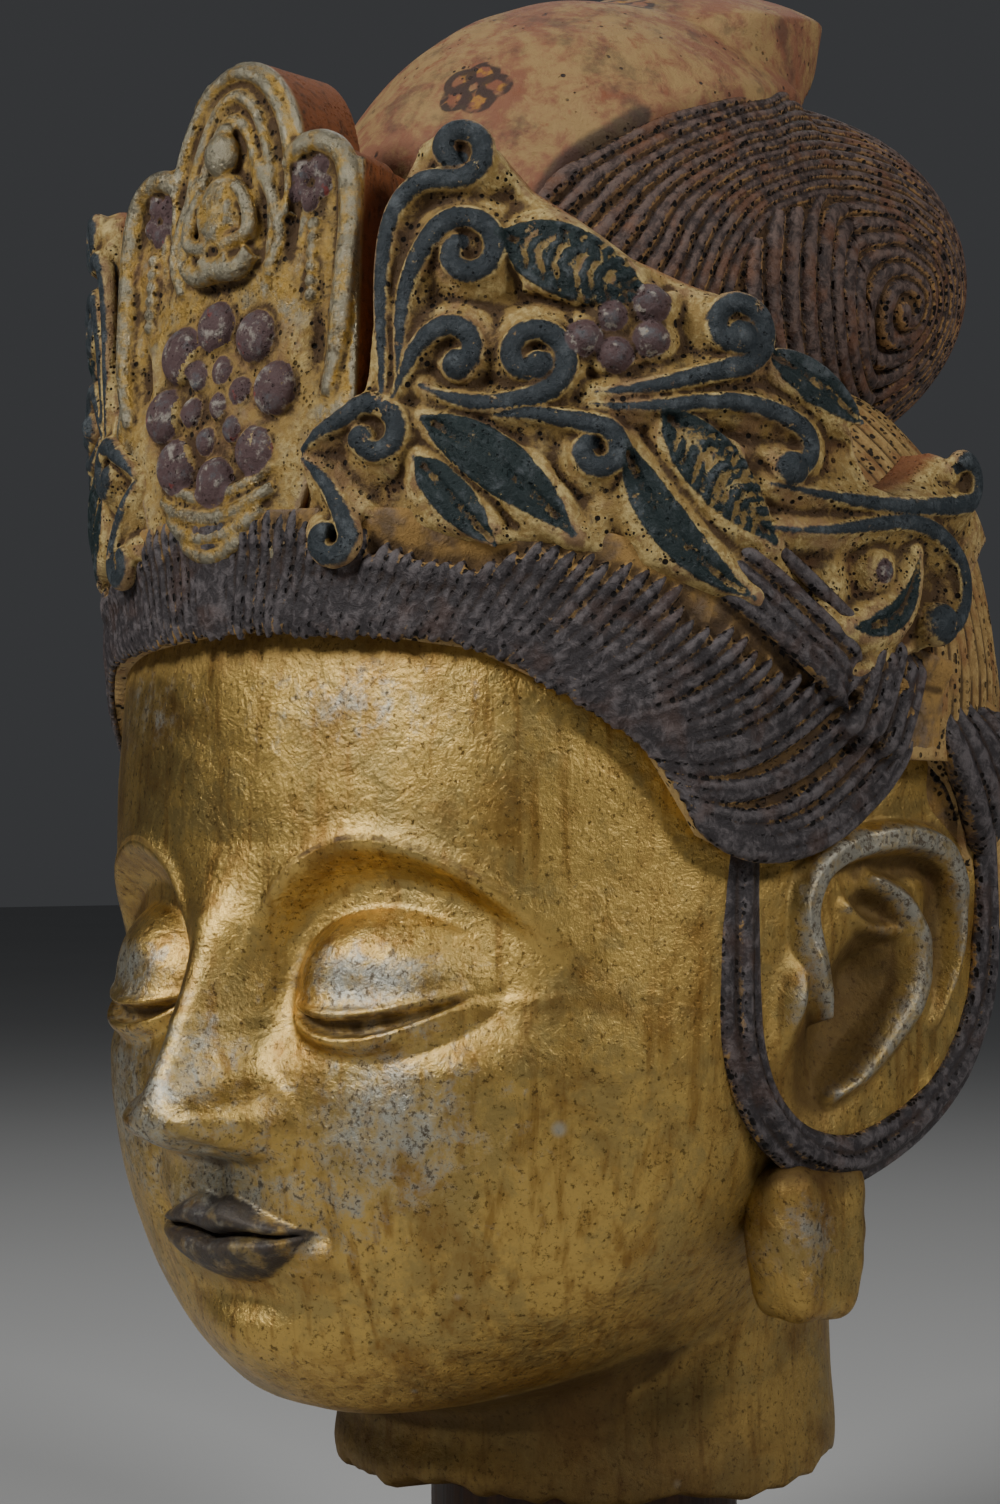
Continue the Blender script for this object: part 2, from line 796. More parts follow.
@dataclass(frozen=True)
class CrownPaint:
    """A pitted tan-yellow ground with blue-green scrolls and leaves and mauve berries."""

    ground: Colour = (0.32, 0.205, 0.062)
    pale: Colour = (0.62, 0.465, 0.19)
    umber: Colour = (0.055, 0.026, 0.009)
    blush: Colour = (0.215, 0.11, 0.066)
    scroll: Colour = (0.027, 0.035, 0.04)
    leaf: Colour = (0.011, 0.022, 0.022)
    worn: Colour = (0.115, 0.13, 0.138)
    berry: Colour = (0.105, 0.062, 0.06)
    spot: Colour = (0.4, 0.36, 0.3)
    red: Colour = (0.26, 0.04, 0.03)
    rear: Colour = (0.24, 0.075, 0.022)
    pit: Colour = (0.01, 0.006, 0.003)
    gold: Colour = (0.46, 0.29, 0.075)
    silver: Colour = (0.33, 0.3, 0.215)

    def earth(self, canvas: Canvas, pitted: float) -> tuple[Socket, Socket, Socket]:
        """The ground.

        Args:
            canvas: The finish in the making.
            pitted: How many cells of the ground hold a pit.

        Returns:
            The colour, the pits and the mottling.
        """
        clouds = canvas.noise(0.014, 5, 0.64, 0.5)
        mottle = canvas.noise(0.003, 6, 0.72, 0.4)
        fine = canvas.noise(0.001, 4, 0.7)
        hollow = canvas.noted("hollow")
        lit = (mottle + fine * 0.5 - hollow * 0.25)
        colour = canvas.over(self.ground, self.pale, lit.ramp(0.66, 0.96))
        colour = canvas.over(colour, self.blush, clouds.ramp(0.5, 0.66) * 0.6)
        rubbed = (hollow + mottle).ramp(0.34, 0.02, 0.0, 0.65)
        colour = canvas.over(colour, self.blush, rubbed)
        deep = (hollow + (mottle - 0.5) * 1.4)
        deep = deep.ramp(0.02, 0.4)
        colour = canvas.over(colour, self.umber, deep * 0.92)
        near = (canvas.noise(0.006, 4) + hollow * 0.25).ramp(0.5, 0.6)
        holes = (canvas.pits(0.0014, 0.4, pitted) * near)
        small = (canvas.pits(0.0008, 0.42, 0.6) * canvas.noise(0.005, 4).ramp(0.48, 0.6))
        holes = canvas.calc("MAXIMUM", holes, small)
        return canvas.over(colour, self.pit, holes), holes, mottle

    def coat(self, canvas: Canvas, below: Socket, name: str, paint: Colour, mottle: Socket,
             margin: float = -0.55) -> tuple[Socket, Socket]:
        """A painted element over the ground.

        Args:
            canvas: The finish in the making.
            below: The colour below.
            name: The kept number that says how far a point is beyond the element's edge.
            paint: The element's paint.
            mottle: The ground's mottling, which wears the paint.
            margin: Where the paint ends, from the element's edge, in millimetres.

        Returns:
            The colour that shows, and where the paint is.
        """
        ragged = ((mottle - 0.5) * 1.9)
        edge = (canvas.noted(name) + ragged)
        inside = edge.ramp(margin + 0.22, margin - 0.22)
        rubbed = (canvas.noise(0.0036, 6, 0.74) - canvas.noted("hollow") * 0.2)
        shade = canvas.over(paint, self.worn, rubbed.ramp(0.54, 0.8, 0.0, 0.8))
        bare = canvas.noise(0.0024, 5, 0.74).ramp(0.62, 0.68, 1.0, 0.2)
        inside = (inside * bare)
        return canvas.over(below, shade, inside), inside

    def surface(self, canvas: Canvas, holes: Socket, mottle: Socket) -> Socket:
        """Grain, mottling and pits as a shading normal."""
        normal = canvas.relief(canvas.noise(0.001, 5, 0.7), 0.00035, 1.0)
        normal = canvas.relief(mottle, 0.001, 0.9, normal)
        return canvas.relief(1.0 - holes, 0.001, 1.0, normal)

    def panel(self) -> bpy.types.Material:
        """The finish of the side panels."""
        canvas = Canvas("painted_crown_panel")
        colour, holes, mottle = self.earth(canvas, 0.62)
        behind = canvas.noted("lift").ramp(1.0, -2.0)
        colour = canvas.over(colour, self.rear, behind * 0.8)
        colour, blue = self.coat(canvas, colour, "scroll", self.scroll, mottle)
        bare = colour
        colour, green = self.coat(canvas, colour, "leaf", self.leaf, mottle)
        vein = (canvas.noted("rib") + (mottle - 0.5) * 2.4)
        vein = (vein.ramp(0.18, -0.1) * (green * 0.8))
        colour = canvas.over(colour, bare, vein)
        colour, mauve = self.coat(canvas, colour, "berry", self.berry, mottle, 0.2)
        spots = (canvas.noise(0.0024, 4).ramp(0.56, 0.66) * mauve)
        colour = canvas.over(colour, self.spot, spots * 0.8)
        painted = canvas.calc("MAXIMUM", canvas.calc("MAXIMUM", blue, green), mauve)
        rough = canvas.either(0.62, 0.42, painted)
        return canvas.done(colour, canvas.either(rough, 0.9, holes), 0.0, self.surface(canvas, holes, mottle))

    def plaque(self) -> bpy.types.Material:
        """The finish of the front plaque, gilt in front and red-brown behind."""
        canvas = Canvas("gilt_crown_plaque")
        colour, holes, mottle = self.earth(canvas, 0.5)
        front = canvas.noted("lift").ramp(-1.6, 0.2)
        height = canvas.noted("hollow")
        rim = (height + mottle * 0.9).ramp(0.72, 0.38)
        gilt = (rim * front * canvas.noted("gilt"))
        high = (canvas.noise(0.0036, 5, 0.7) - height * 0.4)
        shine = canvas.over(self.gold, self.silver, high.ramp(0.44, 0.66))
        shine = canvas.over(shine, self.umber, canvas.noise(0.0026, 6, 0.74).ramp(0.52, 0.68, 0.0, 0.7))
        colour = canvas.over(colour, shine, gilt * 0.95)
        colour, mauve = self.coat(canvas, colour, "petal", self.berry, mottle, 0.1)
        spots = (canvas.noise(0.003, 6, 0.7).ramp(0.52, 0.68) * mauve)
        colour = canvas.over(colour, self.spot, spots * 0.8)
        specks = (canvas.noise(0.0035, 3).ramp(0.66, 0.72) * mauve)
        colour = canvas.over(colour, self.red, specks * 0.7)
        back = canvas.over(self.rear, self.umber, mottle.ramp(0.45, 0.75))
        behind = (1.0 - front)
        colour = canvas.over(colour, back, behind)
        metal = (gilt * (1.0 - mauve) * 0.9)
        rough = canvas.either(0.66, 0.3, metal)
        return canvas.done(colour, canvas.either(rough, 0.9, holes), metal, self.surface(canvas, holes, mottle))


@dataclass(frozen=True)
class ClothPaint:
    """Pinkish clay colour over yellow, with dark-outlined flowers."""

    rose: Colour = (0.255, 0.11, 0.06)
    sand: Colour = (0.36, 0.23, 0.095)
    red: Colour = (0.25, 0.078, 0.032)
    outline: Colour = (0.045, 0.032, 0.028)
    petal: Colour = (0.23, 0.085, 0.048)
    heart: Colour = (0.4, 0.19, 0.035)

    def material(self) -> bpy.types.Material:
        """Builds the finish."""
        canvas = Canvas("painted_veil")
        clouds = canvas.noise(0.026, 6, 0.66, 0.7)
        mottle = canvas.noise(0.005, 6, 0.72, 0.4)
        fine = canvas.noise(0.001, 4, 0.68)
        shade = (clouds * 0.65 + mottle * 0.35)
        colour = canvas.over(self.sand, self.rose, shade.ramp(0.43, 0.56))
        colour = canvas.over(colour, self.red, mottle.ramp(0.56, 0.74, 0.0, 0.7))
        dusk = canvas.noise(0.012, 5, 0.7).ramp(0.5, 0.66, 0.0, 0.45)
        colour = canvas.over(colour, self.outline, dusk)
        petal = canvas.noted("petal").ramp(0.1, -0.3)
        blossom = canvas.over(self.petal, self.heart, canvas.noise(0.0032, 3).ramp(0.5, 0.6))
        colour = canvas.over(colour, blossom, petal * 0.8)
        ragged = ((mottle - 0.5) * 1.3)
        line = (canvas.noted("outline") + ragged)
        line = line.ramp(0.55, 0.05)
        line = (line * canvas.noise(0.006, 3).ramp(0.32, 0.46))
        colour = canvas.over(colour, self.outline, line * 0.9)
        hem = (canvas.noted("hem") + ragged).ramp(1.6, 0.4)
        colour = canvas.over(colour, self.outline, hem * 0.75)
        colour = canvas.over(colour, self.outline, canvas.noted("hollow").ramp(0.15, 0.9, 0.0, 0.7))
        holes = (canvas.pits(0.0016, 0.34, 0.45) * canvas.noise(0.009, 3).ramp(0.52, 0.62))
        colour = canvas.over(colour, self.outline, holes)
        normal = canvas.relief(fine, 0.00035, 0.9)
        normal = canvas.relief(mottle, 0.001, 0.8, normal)
        normal = canvas.relief(1.0 - holes, 0.0006, 1.0, normal)
        return canvas.done(colour, 0.66, 0.0, normal)


@dataclass(frozen=True)
class Wood:
    """Dark stained wood with its grain along one axis."""

    name: str
    along: Colour
    pale: Colour = (0.105, 0.048, 0.022)
    dark: Colour = (0.036, 0.015, 0.008)

    def material(self) -> bpy.types.Material:
        """Builds the finish."""
        canvas = Canvas(self.name)
        grain = canvas.noise(0.0045, 7, 0.62, 0.7, self.along)
        pores = canvas.noise(0.0011, 3, 0.5, 0.0, self.along)
        colour = canvas.over(self.dark, self.pale, grain.ramp(0.36, 0.66))
        colour = canvas.over(colour, self.dark, pores.ramp(0.6, 0.72, 0.0, 0.8))
        rough = canvas.either(0.34, 0.52, grain.ramp(0.4, 0.62))
        normal = canvas.relief(pores, 0.00015, 0.8, canvas.relief(grain, 0.0002, 0.6))
        return canvas.done(colour, rough, 0.0, normal)


# The head's parts


@dataclass(frozen=True)
class Level:
    """One horizontal section of the bare head, in millimetres."""

    front_z: float
    side_z: float
    back_z: float
    half_width: float
    front: float
    back: float
    middle: float
    squareness: float = 2.15


@dataclass
class Face:
    """Neck, jaw and face, on thirds of the face's height."""

    half_width: float = 80.0
    reach: float = 102.5
    back: float = 91.0
    neck: float = 54.0
    seat: float = 37.0
    chin: float = 0.028
    hairline: float = 0.172
    chipped: float = 0.0032
    eye_out: float = 0.0335
    eye_half: float = 0.017
    mouth_half: float = 0.0205
    rows: tuple[tuple[float, int], ...] = ((0.018, 22), (0.04, 30), (0.136, 186), (0.19, 28))
    front_columns: int = 250
    rear_columns: int = 44
    masks: dict[str, Array] = field(default_factory=dict)

    def levels(self) -> tuple[Level, ...]:
        """The bare head's sections, from the neck's underside up."""
        wide, deep, rear, neck = self.half_width, self.reach, self.back, self.neck
        return (
            Level(0, 0, 0, self.seat, self.seat, self.seat, 0, 2.0),
            Level(1, 1, 1, neck - 3, neck - 3, neck - 3, 0, 2.0),
            Level(5, 5, 5, neck, neck, neck, 0, 2.0),
            Level(14, 20, 25, neck - 1, neck - 1, neck - 1, 0, 2.0),
            Level(20, 38, 45, neck - 0.5, neck + 2, neck, -4, 2.0),
            Level(22, 44, 60, 0.72 * wide, 0.75 * deep, 0.68 * rear, -14, 2.05),
            Level(27, 52, 72, 0.79 * wide, 0.83 * deep, 0.79 * rear, -21, 2.1),
            Level(37, 62, 84, 0.88 * wide, 0.895 * deep, 0.88 * rear, -26),
            Level(53, 76, 96, 0.95 * wide, 0.945 * deep, 0.94 * rear, -28),
            Level(73, 92, 108, 0.988 * wide, 0.98 * deep, 0.97 * rear, -28),
            Level(97, 108, 122, wide, deep, 0.99 * rear, -28),
            Level(122, 126, 138, 1.006 * wide, deep, rear, -28),
            Level(148, 148, 154, 1.006 * wide, deep - 0.5, rear, -28),
            Level(172, 172, 172, wide, deep - 3, 0.98 * rear, -24),
            Level(196, 196, 196, 0.95 * wide, 0.91 * deep, 0.92 * rear, -16),
        )

    def brow_height(self, side: Array) -> Array:
        """The height of the brow's edge, which runs from the nose up over the eye."""
        return smooth_read(side, ((0.005, 0.103), (0.0075, 0.112), (0.012, 0.1205), (0.02, 0.1285),
                                  (0.031, 0.1325), (0.043, 0.1305), (0.054, 0.1245), (0.064, 0.116)))

    def eyes(self, side: Array, z: Array) -> Array:
        """Sockets, full lids and the narrow downcast opening."""
        brow = self.brow_height(side)
        socket = -0.0066 * step((brow - z - 0.0036) / 0.0044) * step((z - 0.0985) / 0.0085)
        socket *= step((0.0585 - side) / 0.0125) * step((side - 0.011) / 0.0052)
        edge = (0.001 * hill((z - brow - 0.0002) / 0.003) * step((side - 0.01) / 0.004)
            * step((0.056 - side) / 0.008))
        q = (side - self.eye_out) / self.eye_half
        tall = np.where(z > 0.106, 0.0162, 0.0135)
        round_lid = np.clip(1 - np.square(q / 1.24) - np.square((z - 0.106) / tall), 0, None)
        lid = 0.0078 * step(2.0 * round_lid**0.9 - 1.0)
        crease = -0.0004 * hill((round_lid - 0.16) / 0.1) * step((z - 0.108) / 0.004)
        inside = np.clip(1 - q * q, 0, None)
        margin = 0.1036 - 0.003 * inside + 0.0014 * q
        foot = margin - 0.0032 * inside**0.8
        opening = step((margin - z) / 0.00035) * step((z - foot) / 0.00045) * (inside > 0.02)
        thick = 0.0007 * hill((z - margin - 0.0011) / 0.0009) * step((inside - 0.05) / 0.08)
        slit = -0.003 * opening * np.sqrt(inside)
        lower = 0.0011 * hill((z - foot + 0.0015) / 0.0016) * step((inside - 0.06) / 0.2)
        bag = -0.0005 * hill((z - foot + 0.0062) / 0.003, q / 0.9)
        tail = -0.0005 * hill((z - 0.105 - 0.1 * (side - 0.052)) / 0.0012) * hill((side - 0.052) / 0.0028)
        self.masks["eye"] = opening
        self.masks["line"] = np.where((side > 0.012) & (side < 0.058), 0.55 - np.abs(z - brow - 0.0014) / MM,
            -2.0)
        lash = 0.5 - np.abs(z - margin - 0.0002) / MM
        self.masks["line"] = np.maximum(self.masks["line"], np.where(inside > 0.02, lash, -2.0))
        return socket + edge + lid + crease + thick + slit + lower + bag + tail

    def nose(self, side: Array, z: Array) -> Array:
        """A straight nose with a rounded tip, wings and nostrils."""
        out = smooth_read(z, ((0.07, 0.0), (0.073, 0.0012), (0.0752, 0.011), (0.0775, 0.0166), (0.082, 0.0184),
                              (0.089, 0.0166), (0.098, 0.012), (0.108, 0.008), (0.117, 0.0052),
                              (0.125, 0.0022), (0.133, 0.0)))
        wide = smooth_read(z, ((0.07, 0.009), (0.0775, 0.0104), (0.0825, 0.0104), (0.089, 0.0086),
                               (0.098, 0.007), (0.108, 0.0066), (0.117, 0.0076), (0.133, 0.0125)))
        ridge = out * np.exp(-((side / wide) ** 2.3))
        apart = np.hypot((side - 0.0116) / 0.0062, (z - 0.0812) / 0.0064)
        wings = 0.009 * np.exp(-(apart**2.3))
        fold = (-0.0003 * hill((apart - 1.42) / 0.26) * step((side - 0.0135) / 0.003)
            * step((z - 0.0775) / 0.003))
        nostril = -0.0042 * hill((side - 0.0064) / 0.0027, (z - 0.0762) / 0.0015)
        return ridge + wings + fold + nostril

    def mouth(self, side: Array, z: Array) -> Array:
        """A small, full, closed mouth with its corners barely raised."""
        half = self.mouth_half
        part = smooth_read(side, ((0, 0.0584), (0.004, 0.0591), (0.009, 0.0596), (0.015, 0.0594),
            (half, 0.0603)))
        top = smooth_read(side, ((0, 0.0655), (0.0035, 0.0665), (0.008, 0.0652), (0.014, 0.0627),
            (half, 0.0605)))
        foot = smooth_read(side, ((0, 0.0496), (0.005, 0.0499), (0.01, 0.0513), (0.015, 0.0545),
            (half, 0.0601)))
        within = step((half - 0.001 - side) / 0.0012)
        up = np.clip((z - part) / np.maximum(top - part, 1e-4), 0, 1)
        down = np.clip((part - z) / np.maximum(part - foot, 1e-4), 0, 1)
        upper = 0.0046 * np.sin(math.pi * up**0.72) ** 0.75 * (z > part)
        lower = 0.0056 * np.sin(math.pi * down**0.7) ** 0.75 * (z <= part)
        full = np.sqrt(np.clip(1 - (side / half) ** 2.4, 0, 1))
        parting = -0.0012 * hill((z - part) / 0.0008) * within
        mound = 0.0038 * hill(side / 0.026, (z - 0.0615) / 0.0175)
        corner = -0.0022 * hill((side - half - 0.0012) / 0.0032, (z - 0.0602) / 0.0034)
        philtrum = -0.0005 * hill(side / 0.0024, (z - 0.0702) / 0.0042)
        philtrum += 0.0003 * hill((side - 0.0042) / 0.0018, (z - 0.069) / 0.0042)
        below = -0.0026 * hill(side / 0.015, (z - 0.0462) / 0.0042)
        edge = np.minimum((top - z), (z - foot)) / MM
        self.masks["lips"] = np.where(side < half, np.minimum(edge, (half - side) / MM), -3.0)
        return (upper + lower) * full * within + parting + mound + corner + philtrum + below

    def flesh(self, side: Array, z: Array) -> Array:
        """Round cheeks and chin, and a soft fold under the chin."""
        cheek = 0.003 * hill((side - 0.041) / 0.024, (z - 0.08) / 0.026)
        fold = -0.0012 * hill((side - 0.0225 + 0.3 * (z - 0.07)) / 0.0035, (z - 0.069) / 0.011)
        chin = 0.0056 * hill(side / 0.017, (z - 0.0375) / 0.01)
        temple = -0.002 * hill((side - 0.071) / 0.01, (z - 0.128) / 0.02)
        return cheek + fold + chin + temple

    def build(self) -> Piece:
        """Lofts the bare sections and pushes the features out of them."""
        fields = np.array([[s.front_z, s.side_z, s.back_z, s.half_width, s.front, s.back, s.middle]
                           for s in self.levels()])
        fine = smooth_between(fields * MM, 1500)
        squares = smooth_between([s.squareness for s in self.levels()], 1500)
        heights, start = [np.array([0.0])], 0.0
        for top, count in self.rows:
            heights.append(np.linspace(start, top, count + 1)[1:])
            start = top
        at = np.interp(np.concatenate(heights), np.maximum.accumulate(fine[:, 0]), np.arange(1500))
        front_z, side_z, back_z, half, front, back, middle = (
            np.interp(at, np.arange(1500), column)[:, None] for column in fine.T)
        power = 2 / np.interp(at, np.arange(1500), squares)[:, None]
        ahead = np.linspace(-52, 52, self.front_columns, endpoint=False)
        rear = np.linspace(52, 308, self.rear_columns, endpoint=False)
        angle = np.radians(np.concatenate([ahead, rear]))[None, :]
        sine, cosine = np.sin(angle), np.cos(angle)
        depth = np.where(cosine > 0, front + middle, back - middle)
        x = half * np.sign(sine) * np.abs(sine) ** power
        y = middle - depth * np.sign(cosine) * np.abs(cosine) ** power
        z = (side_z + (front_z - side_z) * np.clip(cosine, 0, 1) ** 1.3
            + (back_z - side_z) * np.clip(-cosine, 0, 1))
        low = np.clip(1 - z / 0.012, 0, 1) * step((np.hypot(x, y) - self.seat * MM) / 0.006)
        ragged = 0.5 + 0.3 * np.sin(3 * angle + 1) + 0.25 * np.sin(7 * angle) + 0.2 * np.sin(13 * angle)
        z = z + self.chipped * low * (ragged + 0.18 * np.sin(29 * angle + 2) + 0.1 * np.sin(53 * angle))
        side = np.abs(x)
        push = self.eyes(side, z) + self.nose(side, z) + self.mouth(side, z) + self.flesh(side, z)
        facing = step((-0.052 - y) / 0.022) * step((z - 0.021) / 0.006)
        beside_ear = np.hypot((y + 0.008) / 0.033, (z - 0.108) / 0.036)
        x = x - np.sign(x) * 0.011 * step((0.86 - beside_ear) / 0.16)
        y = y - push * facing
        under_hair = 1 - 0.1 * step((y + 0.03) / 0.03) * np.clip((z - 0.15) / 0.046, 0, 1) ** 1.3
        x, y = x * under_hair, y * under_hair
        rings = [np.stack([x[k], y[k], z[k]], axis=1) for k in range(len(at))]
        piece = stacked("face_and_neck", rings)
        self.keep_notes(piece)
        return piece

    def keep_notes(self, piece: Piece) -> None:
        """Keeps where lips, lines, wear and shade lie, for the finish."""
        points = points_of(piece)
        wave = ripple(points, 0.03, 3) + 0.6 * ripple(points, 0.012, 4)
        points = points + normals_of(piece) * wave[:, None] * 0.00018
        move_points(piece, points)
        side, y, z = np.abs(points[:, 0]), points[:, 1], points[:, 2]
        ahead = y < -0.06
        self.eyes(side, z)
        self.mouth(side, z)
        hollow = 0.5 * hollowness(piece, 14) + 0.4 * hollowness(piece, 60)
        note(piece, hollow=hollow, lips=np.where(ahead, self.masks["lips"], -3.0))
        eye = np.where(ahead, self.masks["eye"] * 2 - 1, -2.0)
        note(piece, lines=np.maximum(np.where(ahead, self.masks["line"], -2.0), eye))
        rubbed = (0.9 * hill((side - 0.038) / 0.018, (z - 0.082) / 0.02)
            + 0.8 * hill(side / 0.012, (z - 0.088) / 0.022))
        rubbed += 0.9 * hill((side - self.eye_out) / 0.014, (z - 0.1085) / 0.006)
        rubbed += (0.7 * hill(side / 0.024, (z - 0.062) / 0.014)
            + 0.6 * hill((side - 0.03) / 0.022, (z - 0.158) / 0.01))
        note(piece, rubbed=np.clip(rubbed, 0, 1))
        jaw = 0.35 * step((0.03 - z) / 0.01) * step((-0.01 - y) / 0.03)
        under_hair = 0.7 * step((z - 0.166) / 0.006)
        neck = 0.15 * step((0.016 - z) / 0.012)
        beside = 0.4 * step((y + 0.052) / 0.01)
        note(piece, shade=np.clip(jaw + under_hair + neck + beside, 0, 1))


@dataclass
class Hair:
    """The combed hair: a band of locks above the forehead, and the plainer mass behind."""

    top: float = 0.232
    locks: int = 54
    bunch: int = 5
    lock_radius: float = 0.0015
    grain: float = 0.00056

    def lift(self, distance: Array, height: Array | float = 1.0) -> Array:
        """How far the hair lies off the crown's wall, at a distance round it and a height."""
        degrees = np.abs(np.degrees(distance / WALL.radius))
        level = np.interp(degrees, (0, 60, 90, 135, 180), (0.0, -0.0006, -0.0016, 0.002, 0.0085))
        return (level - 0.0035 * step((degrees - 62) / 10) * np.clip((0.168 - height) / 0.028, 0, 1)
            * (degrees < 125))

    def hairline(self, degrees: Array) -> Array:
        """The height of the hair's lower edge all round the head."""
        return np.interp(degrees, (0, 22, 34, 44, 53, 60, 66, 80, 88, 102, 110, 140, 180),
                         (173, 171, 168, 160, 151, 134, 130, 135, 149, 149, 128, 96, 80)) * MM

    def lock_lines(self) -> list[Line]:
        """The locks' middle lines on the left side, laid out flat with their lift."""
        hairline = np.array([(0, 172.5), (11, 172), (22, 171), (34, 168.5), (44, 160), (53, 150), (60, 135)])
        foot = np.array([(0, 194), (14, 193), (28, 192), (44, 190), (62, 182), (78, 169), (92, 154)])
        per_degree = math.pi / 180 * WALL.radius / MM
        starts = smooth_between(hairline * (per_degree, 1), self.locks)
        ends = smooth_between(foot * (per_degree, 1), self.locks)
        leaving = np.radians(smooth_between([90, 78, 60, 42, 20, -8, -38], self.locks))
        arriving = np.radians(smooth_between([90, 82, 68, 52, 45, 48, 58], self.locks))
        random = np.random.default_rng(5)
        lines = []
        shift = np.repeat(random.uniform(-10.0, 4.0, self.locks // self.bunch + 1), self.bunch)
        for start, end, out, back, longer in zip(starts, ends, leaving, arriving, shift):
            start = start - 0.9 * np.array([math.cos(out), math.sin(out)]) * random.uniform(0.2, 1.4)
            end = end + np.array([math.cos(back), math.sin(back)]) * (longer + random.uniform(-2.2, 1.0))
            reach = np.linalg.norm(end - start) * random.uniform(0.34, 0.42)
            curve = bezier(start, start + reach * np.array([math.cos(out), math.sin(out)]),
                           end - reach * np.array([math.cos(back), math.sin(back)]), end, 26) * MM
            swell = np.interp(np.linspace(0, 1, 26), (0, 0.1, 0.25, 0.8, 0.94, 1),
                (0.45, 0.85, 1, 1, 0.75, 0.3))
            width = self.lock_radius * swell * random.uniform(0.88, 1.08)
            over = 0.0014 * step((np.linspace(0, 1, 26) - 0.82) / 0.14)
            sunk = self.lift(curve[:, 0], curve[:, 1]) + 0.0004 - (1 - swell) * 0.0008 + over
            lines.append(Line(np.c_[curve, sunk], width))
        return lines

    def tie_lines(self) -> list[Line]:
        """The bound strands behind the temple: a straight band, and one that crosses its end."""
        lines = []
        sunk = np.clip(np.abs(np.linspace(-1, 1, 24)) - 0.72, 0, 1) / 0.28
        for k in range(5):
            band = (np.array([(103, 185), (111, 179.5), (121, 172), (132, 164)])
                + np.array([1.5, 2.2]) * 1.18 * (k - 2))
            band = band + (1.3 * math.sin(5 * k + 1), 0)
            lines.append(Line(np.c_[smooth_between(band, 24) * MM, 0.0013 - 0.0026 * sunk],
                0.00155 * (1 - 0.35 * sunk)))
        for k in range(5):
            band = np.array([(130, 153), (134.5, 162), (138, 171.5)]) + np.array([3.0, -0.9]) * k
            band = band + (0, 1.5 * math.sin(4 * k))
            lines.append(Line(np.c_[smooth_between(band, 24) * MM, 0.0006 - 0.0026 * sunk],
                0.00165 * (1 - 0.3 * sunk)))
        return lines

    def front(self) -> Piece:
        """The band of locks from one ear to the other, over a bed that fills their gaps."""
        lines = self.lock_lines() + self.tie_lines()
        pieces = [ropes("locks", lines, WALL.mirrored(side)) for side in Side]
        distance = np.linspace(-0.163, 0.163, 260)
        degrees = np.abs(np.degrees(distance / WALL.radius))
        low = self.hairline(degrees) + 0.0006
        high = np.interp(degrees, (0, 28, 44, 62, 78, 100), (196, 194, 191, 184, 174, 168)) * MM
        rings = []
        for at, bottom, up in zip(distance, low, high):
            rise = np.linspace(0, 1, 30)
            z = bottom + (up - bottom) * rise
            round_edge = -0.003 * np.clip(1 - rise / 0.1, 0, 1) ** 2 + 0.0016 * step((rise - 0.78) / 0.14)
            outer = np.stack([np.full(30, at), z, self.lift(np.full(30, at), z) + round_edge], axis=1)
            inner = outer[::-1] - (0, 0, 0.011)
            rings.append(WALL.wrap(np.concatenate([outer, inner])))
        piece = fused("hair_front", [stacked("bed", rings), *pieces], self.grain, softness=1, kept=0.37)
        flat = WALL.unwrap(points_of(piece))
        flat[:, 0] = np.abs(flat[:, 0])
        strands = Field([Line(line.points[:, :2], line.radius) for line in lines])
        note(piece, across=strands.share(flat[:, :2]), hollow=hollowness(piece, 12))
        return piece

    def mass(self) -> Piece:
        """The hair over the back of the skull, combed up towards the topknot."""
        angle = np.linspace(-math.pi, math.pi, 301)[:-1]
        degrees = np.abs(np.degrees(angle))
        low = self.hairline(degrees)
        behind = step((degrees - 95) / 30)
        skull = ((0.15, 0.0), (0.16, -0.0004), (0.172, -0.0018), (0.184, -0.0036), (0.196, -0.0066),
                 (0.208, -0.012), (0.218, -0.019), (0.226, -0.0275), (0.232, -0.04))
        rings = [WALL.wrap(np.stack([angle * WALL.radius, low + 0.002, np.full_like(angle, -0.045)], axis=1))]
        for share in np.linspace(0, 1, 84):
            z = low + (self.top - low) * share
            over = -0.08 * np.clip((z - 0.172) / (self.top - 0.172), 0, 1) ** 1.7
            over = over + (smooth_read(z, skull) - over) * behind
            nape = -0.014 * behind * np.clip((0.125 - z) / 0.045, 0, 1) ** 1.5
            sweep = angle * 50 + 5.0 * np.sin(angle) * share + 0.5 * np.sin(angle * 7 + share * 4)
            comb = -0.0011 * np.abs(np.sin(sweep)) ** 3 * behind * step((share - 0.04) / 0.05)
            lift = self.lift(angle * WALL.radius, z) + over + nape + comb - 0.0006 + 0.0012 * behind
            rings.append(WALL.wrap(np.stack([angle * WALL.radius, z, lift], axis=1)))
        piece = stacked("hair_mass", rings)
        points = points_of(piece)
        turn = np.arctan2(points[:, 0], -(points[:, 1] - WALL.centre_y))
        note(piece, across=0.35 + 0.55 * np.abs(np.sin(turn * 50)) ** 3, hollow=hollowness(piece, 6))
        return piece


